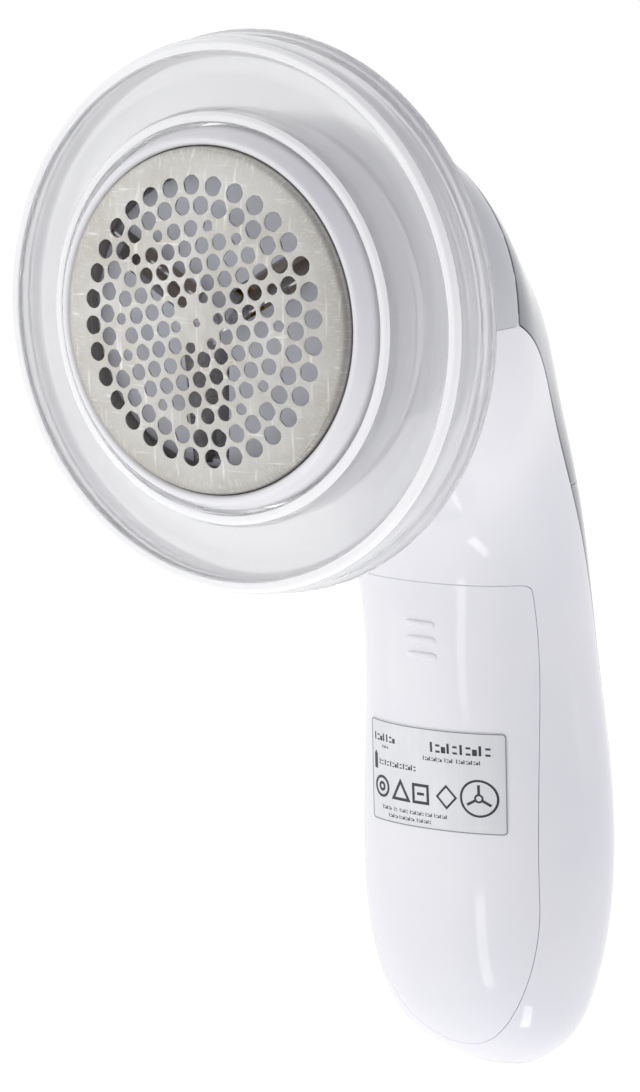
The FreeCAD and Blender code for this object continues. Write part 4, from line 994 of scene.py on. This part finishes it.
# ---------------------------------------------------------------- casing pieces
casing_shell("casing_body", body_field, "body", "white_gloss", WHITE, "body_shell")
# The head cover takes the grey of painted shade.
casing_shell("casing_head_cover", head_cover_field, "body", "white_gloss", HEAD_COVER_PAINTED_SHADE, "head_cover")
casing_shell("lint_bin_cup", bin_field, "bin_unit", "smoke_grey", SMOKE, "lint_bin")
casing_shell("casing_rear_cover", rear_cover_field, "body", "smoke_grey", SMOKE, "rear_cover")
casing_shell("battery_door", door_skin_field, "cover_unit", "white_gloss", WHITE, "battery_cover", wall=1.5)


def on_form(x, z, back=False):
    """Points and normals of the casing form seen from the front, or the back, at given x and z."""
    x, z = np.broadcast_arrays(np.asarray(x, float), np.asarray(z, float))
    shape = x.shape
    x, z = x.ravel(), z.ravel()
    place = np.interp(-z, -STATIONS[:, 3 if back else 1][1:], PLACES[1:])
    angle = np.arctan2(x, np.full_like(x, 14.0 if back else -14.0))
    for _ in range(30):
        point = form_point(place, angle)
        nudge = 1e-4
        by_place = (form_point(place + nudge, angle) - point) / nudge
        by_angle = (form_point(place, angle + nudge) - point) / nudge
        miss_x, miss_z = x - point[:, 0], z - point[:, 2]
        bulk = by_place[:, 0] * by_angle[:, 2] - by_place[:, 2] * by_angle[:, 0]
        bulk = np.where(np.abs(bulk) < 1e-6, 1e-6, bulk)
        place = place + np.clip((miss_x * by_angle[:, 2] - miss_z * by_angle[:, 0]) / bulk, -3, 3)
        angle = angle + np.clip((miss_z * by_place[:, 0] - miss_x * by_place[:, 2]) / bulk, -0.3, 0.3)
    point, normal = form_frame(place, angle)[:2]
    return point.reshape(*shape, 3), normal.reshape(*shape, 3)


def grid_solid(points, bottoms):
    """Closed solid from a grid of top points and a grid of bottom points."""
    rows, columns = points.shape[:2]
    corners = [r * columns + c for r in range(rows - 1) for c in range(columns - 1)]
    quads = [(a, a + 1, a + columns + 1, a + columns) for a in corners]
    points = np.vstack([points.reshape(-1, 3), bottoms.reshape(-1, 3)])
    return points, thick_faces(quads, rows * columns)


def pillow_grid(half_x, half_z, count_x, count_z, power):
    """Grid over a rounded rectangle, closer together near its edges, with each point's edge share."""
    u = np.sin(np.linspace(-1, 1, count_x) * math.pi / 2)
    v = np.sin(np.linspace(-1, 1, count_z) * math.pi / 2)
    u, v = np.meshgrid(u, v)
    reach = np.maximum(np.abs(u), np.abs(v))
    length = (np.abs(u) ** power + np.abs(v) ** power) ** (1 / power)
    scale = np.where(length > 1e-9, reach / np.maximum(length, 1e-9), 1.0)
    return u * scale * half_x, v * scale * half_z, reach


RIDGE_HEIGHTS = (-51.1, -53.55, -56.0)
RIDGE_HALF = (2.65, 0.6)
RIDGE_LIFT = 0.42


def make_ridges():
    """Three soft grip bars on the battery door."""
    for number, height in enumerate(RIDGE_HEIGHTS):
        u, v, reach = pillow_grid(*RIDGE_HALF, 41, 17, 4.0)
        point, normal = on_form(u, height + v)
        lift = RIDGE_LIFT * (1 - reach ** 4.0) ** 0.6
        solid = grid_solid(point + normal * lift[..., None], point - normal * 0.4)
        fix_normals(piece(f"door_ridge_{number + 1}", *solid, "cover_unit", "white_gloss", WHITE))


make_ridges()

# ---------------------------------------------------------------- label
LABEL_MIDDLE = -75.15
LABEL_HALF = (12.4, 7.95)
FILM_LIFT = 0.14
INK_THICKNESS = 0.024
PRINT_STEP = 0.5


def make_label():
    u, v, reach = pillow_grid(*LABEL_HALF, 49, 33, 26.0)
    point, normal = on_form(u, LABEL_MIDDLE + v)
    lift = FILM_LIFT * np.clip((1 - reach) / 0.01, 0.4, 1.0)
    solid = grid_solid(point + normal * lift[..., None], point - normal * 0.02)
    fix_normals(piece("label_film", *solid, "cover_unit", "label_film", FILM, replaces=("rating_label",)))


make_label()


class Print:
    """Thin printed shapes laid over the label, in millimetres from its middle."""

    def __init__(self):
        self.points = []
        self.faces = []

    def strip(self, left, right):
        """A printed ribbon between two rows of (across, up) points."""
        start = len(self.points)
        count = len(left)
        self.points += list(left) + list(right)
        for i in range(count - 1):
            self.faces.append((start + i, start + i + 1, start + count + i + 1, start + count + i))

    def bar(self, across, up, width, height):
        steps = max(2, int(width / 0.8) + 1)
        xs = np.linspace(across, across + width, steps)
        self.strip([(x, up) for x in xs], [(x, up + height) for x in xs])

    def divided(self, path, closed):
        """Path with points close enough together to follow the curved label."""
        path = [np.array(point, float) for point in path]
        spans = list(zip(path, path[1:] + path[:1])) if closed else list(zip(path, path[1:]))
        dense = []
        for start, stop in spans:
            pieces = max(1, math.ceil(np.linalg.norm(stop - start) / PRINT_STEP))
            dense += [start + (stop - start) * i / pieces for i in range(pieces)]
        return np.array(dense if closed else dense + path[-1:])

    def line(self, path, width, closed=False):
        path = self.divided(path, closed)
        before = np.roll(path, 1, axis=0) if closed else np.vstack([2 * path[:1] - path[1:2], path[:-1]])
        after = np.roll(path, -1, axis=0) if closed else np.vstack([path[1:], 2 * path[-1:] - path[-2:-1]])
        inward, outward = path - before, after - path
        inward /= np.linalg.norm(inward, axis=1, keepdims=True)
        outward /= np.linalg.norm(outward, axis=1, keepdims=True)
        way = inward + outward
        way /= np.linalg.norm(way, axis=1, keepdims=True)
        mitre = 1 / np.maximum(np.sum(way * outward, axis=1, keepdims=True), 0.45)
        offset = np.stack([-way[:, 1], way[:, 0]], -1) * mitre * width / 2
        left, right = path + offset, path - offset
        if closed:
            left, right = np.vstack([left, left[:1]]), np.vstack([right, right[:1]])
        self.strip([tuple(p) for p in left], [tuple(p) for p in right])

    def words(self, across, up, lengths, height, gap):
        """A line of greeked text: rows of plain ticks standing for words."""
        pitch = 0.62 * height
        for length in lengths:
            for tick in range(max(1, round(length / pitch))):
                start = across + tick * pitch
                if tick % 3 == 0:
                    self.bar(start, up, 0.24 * height, height)
                elif tick % 3 == 1:
                    self.bar(start, up + 0.62 * height, 0.46 * height, 0.2 * height)
                    self.bar(start, up, 0.46 * height, 0.2 * height)
                else:
                    self.bar(start, up, 0.46 * height, 0.62 * height)
            across += length + gap

    def make(self, name, material):
        flat = np.array(self.points)
        point, normal = on_form(flat[:, 0], LABEL_MIDDLE + flat[:, 1])
        points = np.vstack([point + normal * (FILM_LIFT + INK_THICKNESS), point + normal * FILM_LIFT])
        faces = thick_faces(self.faces, len(flat))
        fix_normals(piece(name, points, faces, "cover_unit", "label_film", material, smooth=False))


def rounded_path(half_x, half_z, radius):
    """Corner points of a closed rounded rectangle round the origin."""
    path = []
    for quarter, (sx, sz) in enumerate(((1, 1), (-1, 1), (-1, -1), (1, -1))):
        for angle in np.linspace(0, math.pi / 2, 6) + quarter * math.pi / 2:
            path.append((sx * (half_x - radius) + radius * math.cos(angle),
                         sz * (half_z - radius) + radius * math.sin(angle)))
    return path


WHEEL = (8.3, -2.3)
BORDER_INSET = 0.22
# Rows of greeked text: across, up, the words' lengths, height, gap between words.
WORDS = (
    (-11.3, 4.6, (2.6, 2.2), 1.15, 0.35),
    (-9.4, 3.6, (1.5,), 0.4, 0.2),
    (0.6, 4.3, (4.6, 5.2), 1.55, 0.4),
    (-0.8, 2.9, (3.4, 1.5, 3.9), 0.62, 0.45),
    (-10.2, 0.9, (0.9, 0.9, 2.4, 2.8), 0.85, 0.4),
    (-9.6, -5.9, (2.2, 0.8, 1.7, 2.6, 1.2, 2.3), 0.55, 0.4),
    (-8.2, -7.0, (1.9, 3.1, 2.6), 0.55, 0.4),
)
# Bars of an upright cell and of the square's middle: across, up, width, height.
BARS = ((-11.5, 0.1, 0.75, 2.4), (-11.3, 2.5, 0.35, 0.3), (-2.2, -2.75, 1.3, 0.42))
# Closed figures, each with its line's width: two rings, a triangle, a square, a diamond and a wheel.
FIGURES = (
    (ring_points(-9.7, -2.5, 1.5, 36), 0.42),
    (ring_points(-9.7, -2.5, 0.55, 36), 0.42),
    (((-7.1, -3.9), (-5.5, -1.1), (-3.9, -3.9)), 0.45),
    (((-2.9, -3.9), (-2.9, -1.2), (-0.2, -1.2), (-0.2, -3.9)), 0.45),
    (((1.5, -2.5), (3.1, -0.8), (4.7, -2.5), (3.1, -4.2)), 0.32),
    (ring_points(*WHEEL, 2.75, 48), 0.34),
    (ring_points(*WHEEL, 0.55, 36), 0.3),
)


def make_print():
    """Generic marks only, which stand for no real sign, inside a thin border."""
    ink = Print()
    for row in WORDS:
        ink.words(*row)
    for row in BARS:
        ink.bar(*row)
    for path, width in FIGURES:
        ink.line(path, width, closed=True)
    for arm in np.radians((90, 210, 330)):
        ink.line([WHEEL + reach * np.array((math.cos(arm), math.sin(arm))) for reach in (0.55, 2.1)], 0.4)
    ink.make("label_print", INK)
    border = Print()
    border.line(rounded_path(*(half - BORDER_INSET for half in LABEL_HALF), 0.5), 0.16, closed=True)
    border.make("label_border", BORDER)


make_print()


# ---------------------------------------------------------------- switch
PAD_HALF = (4.7, 7.9)
PAD_MIDDLE = -50.0
PAD_LIFT = 0.36
PAD_CROWN = 1.55
RIB_HALF = (3.9, 6.2)
RIB_PITCH = 1.9
STEM_HALF = (1.3, 1.45)
STEM_MIDDLE = -50.95


def make_button():
    """Slide button: a crowned pad with grip ribs, and its stem in the slot."""
    u, v, reach = pillow_grid(*PAD_HALF, 33, 97, 7.0)
    point, normal = on_form(u, PAD_MIDDLE + v, back=True)
    ribs = 0.28 * np.cos(v * 2 * math.pi / RIB_PITCH) * np.clip((RIB_HALF[1] - np.abs(v)) / 0.6, 0, 1)
    ribs *= np.clip((RIB_HALF[0] - np.abs(u)) / 0.6, 0, 1)
    lift = PAD_LIFT + PAD_CROWN * (1 - reach ** 9.0) ** 0.5 + np.minimum(ribs, 0.2)
    points, faces = grid_solid(point + normal * lift[..., None], point + normal * PAD_LIFT)
    u, v = np.meshgrid(*(np.linspace(-half, half, 5) for half in STEM_HALF))
    point, normal = on_form(u, STEM_MIDDLE + v, back=True)
    stem_points, stem_faces = grid_solid(point + normal * 0.6, point - normal * 1.6)
    faces += [[len(points) + v for v in face] for face in stem_faces]
    button = piece("switch_pad", np.vstack([points, stem_points]), faces, "switch_unit", "switch_white",
                   BY_SLOT["switch_white"], replaces=("switch_button",))
    fix_normals(button)
    smooth_by_angle(button.data, 50)


make_button()


# ---------------------------------------------------------------- stage, lights, camera
def stage_material():
    """Plain pale studio board with a faint mottle."""
    make = Maker("studio_board")
    make.colour(make.mix(make.remap(make.noise(9.0, 3.0), 0.3, 0.7), (0.93, 0.93, 0.935, 1.0),
                         (0.9, 0.9, 0.905, 1.0)))
    make.roughness(make.remap(make.noise(40.0, 2.0), 0.3, 0.7, 0.75, 0.9))
    make.put(Emission_Color=(1.0, 1.0, 1.0, 1.0), Emission_Strength=0.42)
    return make.material


def make_floor():
    """Wide plain floor a hair below the object; glossy rays don't see it."""
    mesh = bpy.data.meshes.new("studio_floor")
    reach = 6.0
    level = -0.0004
    corners = ((-1, -1), (1, -1), (1, 1), (-1, 1))
    mesh.from_pydata([(x * reach, y * reach, level) for x, y in corners], [], [(0, 1, 2, 3)])
    mesh.materials.append(stage_material())
    floor = bpy.data.objects.new("studio_floor", mesh)
    bpy.context.scene.collection.objects.link(floor)
    floor.visible_glossy = False


make_floor()


def direction(turn, rise):
    """Unit vector: turn from the front towards the right, rise above level, in degrees."""
    turn, rise = math.radians(turn), math.radians(rise)
    return Vector((math.sin(turn) * math.cos(rise), -math.cos(turn) * math.cos(rise), math.sin(rise)))


TOWARDS_CAMERA = direction(36.8, 7.2)
VIEW_DISTANCE = 0.9556
AIM_RIGHT = math.tan(math.radians(1.053))
AIM_DOWN = math.tan(math.radians(1.901))


def make_camera():
    """Camera at the viewing angle, aimed a little right of and below the top of the foil's dome."""
    forward = -TOWARDS_CAMERA
    right = forward.cross(Vector((0, 0, 1))).normalized()
    up = right.cross(forward)
    axis = (forward + right * AIM_RIGHT - up * AIM_DOWN).normalized()
    right = (right - axis * right.dot(axis)).normalized()
    up = right.cross(axis)
    camera = bpy.data.objects.new("camera", bpy.data.cameras.new("camera"))
    bpy.context.scene.collection.objects.link(camera)
    place = Vector(APEX) + TOWARDS_CAMERA * VIEW_DISTANCE
    camera.matrix_world = Matrix.LocRotScale(place, Matrix((right, up, -axis)).transposed(), None)
    camera.data.lens = 221.5
    camera.data.sensor_width = 36.0
    camera.data.clip_start = 0.01
    bpy.context.scene.camera = camera


make_camera()

LIGHT_AIM = Vector((0, 0, 0.09))
LIGHTS = (
    # name, turn and rise in degrees, distance, width and height in metres, brightness of its face
    ("key_front", -42, 2, 1.3, 1.5, 1.4, 0.24),
    ("rim_right", 128, 18, 0.9, 0.12, 0.8, 2.4),
    ("strip_low", -3, -36, 1.0, 0.13, 0.46, 2.6),
    ("strip_neck", 50, -70, 0.9, 0.12, 0.34, 5.5),
)


def softbox(name, turn, rise, distance, width, height, radiance):
    """Area light aimed at the object, given the brightness of its face."""
    light = bpy.data.lights.new(name, "AREA")
    light.shape = "RECTANGLE"
    light.size, light.size_y = width, height
    light.energy = radiance * math.pi * width * height
    lamp = bpy.data.objects.new(name, light)
    bpy.context.scene.collection.objects.link(lamp)
    way = direction(turn, rise)
    lamp.location = LIGHT_AIM + way * distance
    lamp.rotation_euler = way.to_track_quat("Z", "Y").to_euler()
    lamp.visible_camera = False


for row in LIGHTS:
    softbox(*row)


def make_world():
    """White studio all round, a little darker towards the camera's side."""
    world = bpy.data.worlds.new("studio")
    bpy.context.scene.world = world
    world.use_nodes = True
    tree = world.node_tree
    background = tree.nodes["Background"]
    place = tree.nodes.new("ShaderNodeTexCoord").outputs["Generated"]
    facing = tree.nodes.new("ShaderNodeVectorMath")
    facing.operation = "DOT_PRODUCT"
    tree.links.new(place, facing.inputs[0])
    facing.inputs[1].default_value = direction(78, 22)
    ramp = tree.nodes.new("ShaderNodeValToRGB")
    share = tree.nodes.new("ShaderNodeMapRange")
    share.inputs["From Min"].default_value = -1.0
    tree.links.new(facing.outputs["Value"], share.inputs["Value"])
    tree.links.new(share.outputs["Result"], ramp.inputs["Fac"])
    ramp.color_ramp.elements[0].position = 0.26
    ramp.color_ramp.elements[0].color = (1.0, 1.0, 1.0, 1.0)
    ramp.color_ramp.elements[1].position = 0.85
    ramp.color_ramp.elements[1].color = (0.42, 0.42, 0.45, 1.0)
    tree.links.new(ramp.outputs["Color"], background.inputs["Color"])
    background.inputs["Strength"].default_value = 1.0


make_world()
bpy.context.scene.view_settings.view_transform = "Standard"

bpy.context.view_layer.update()
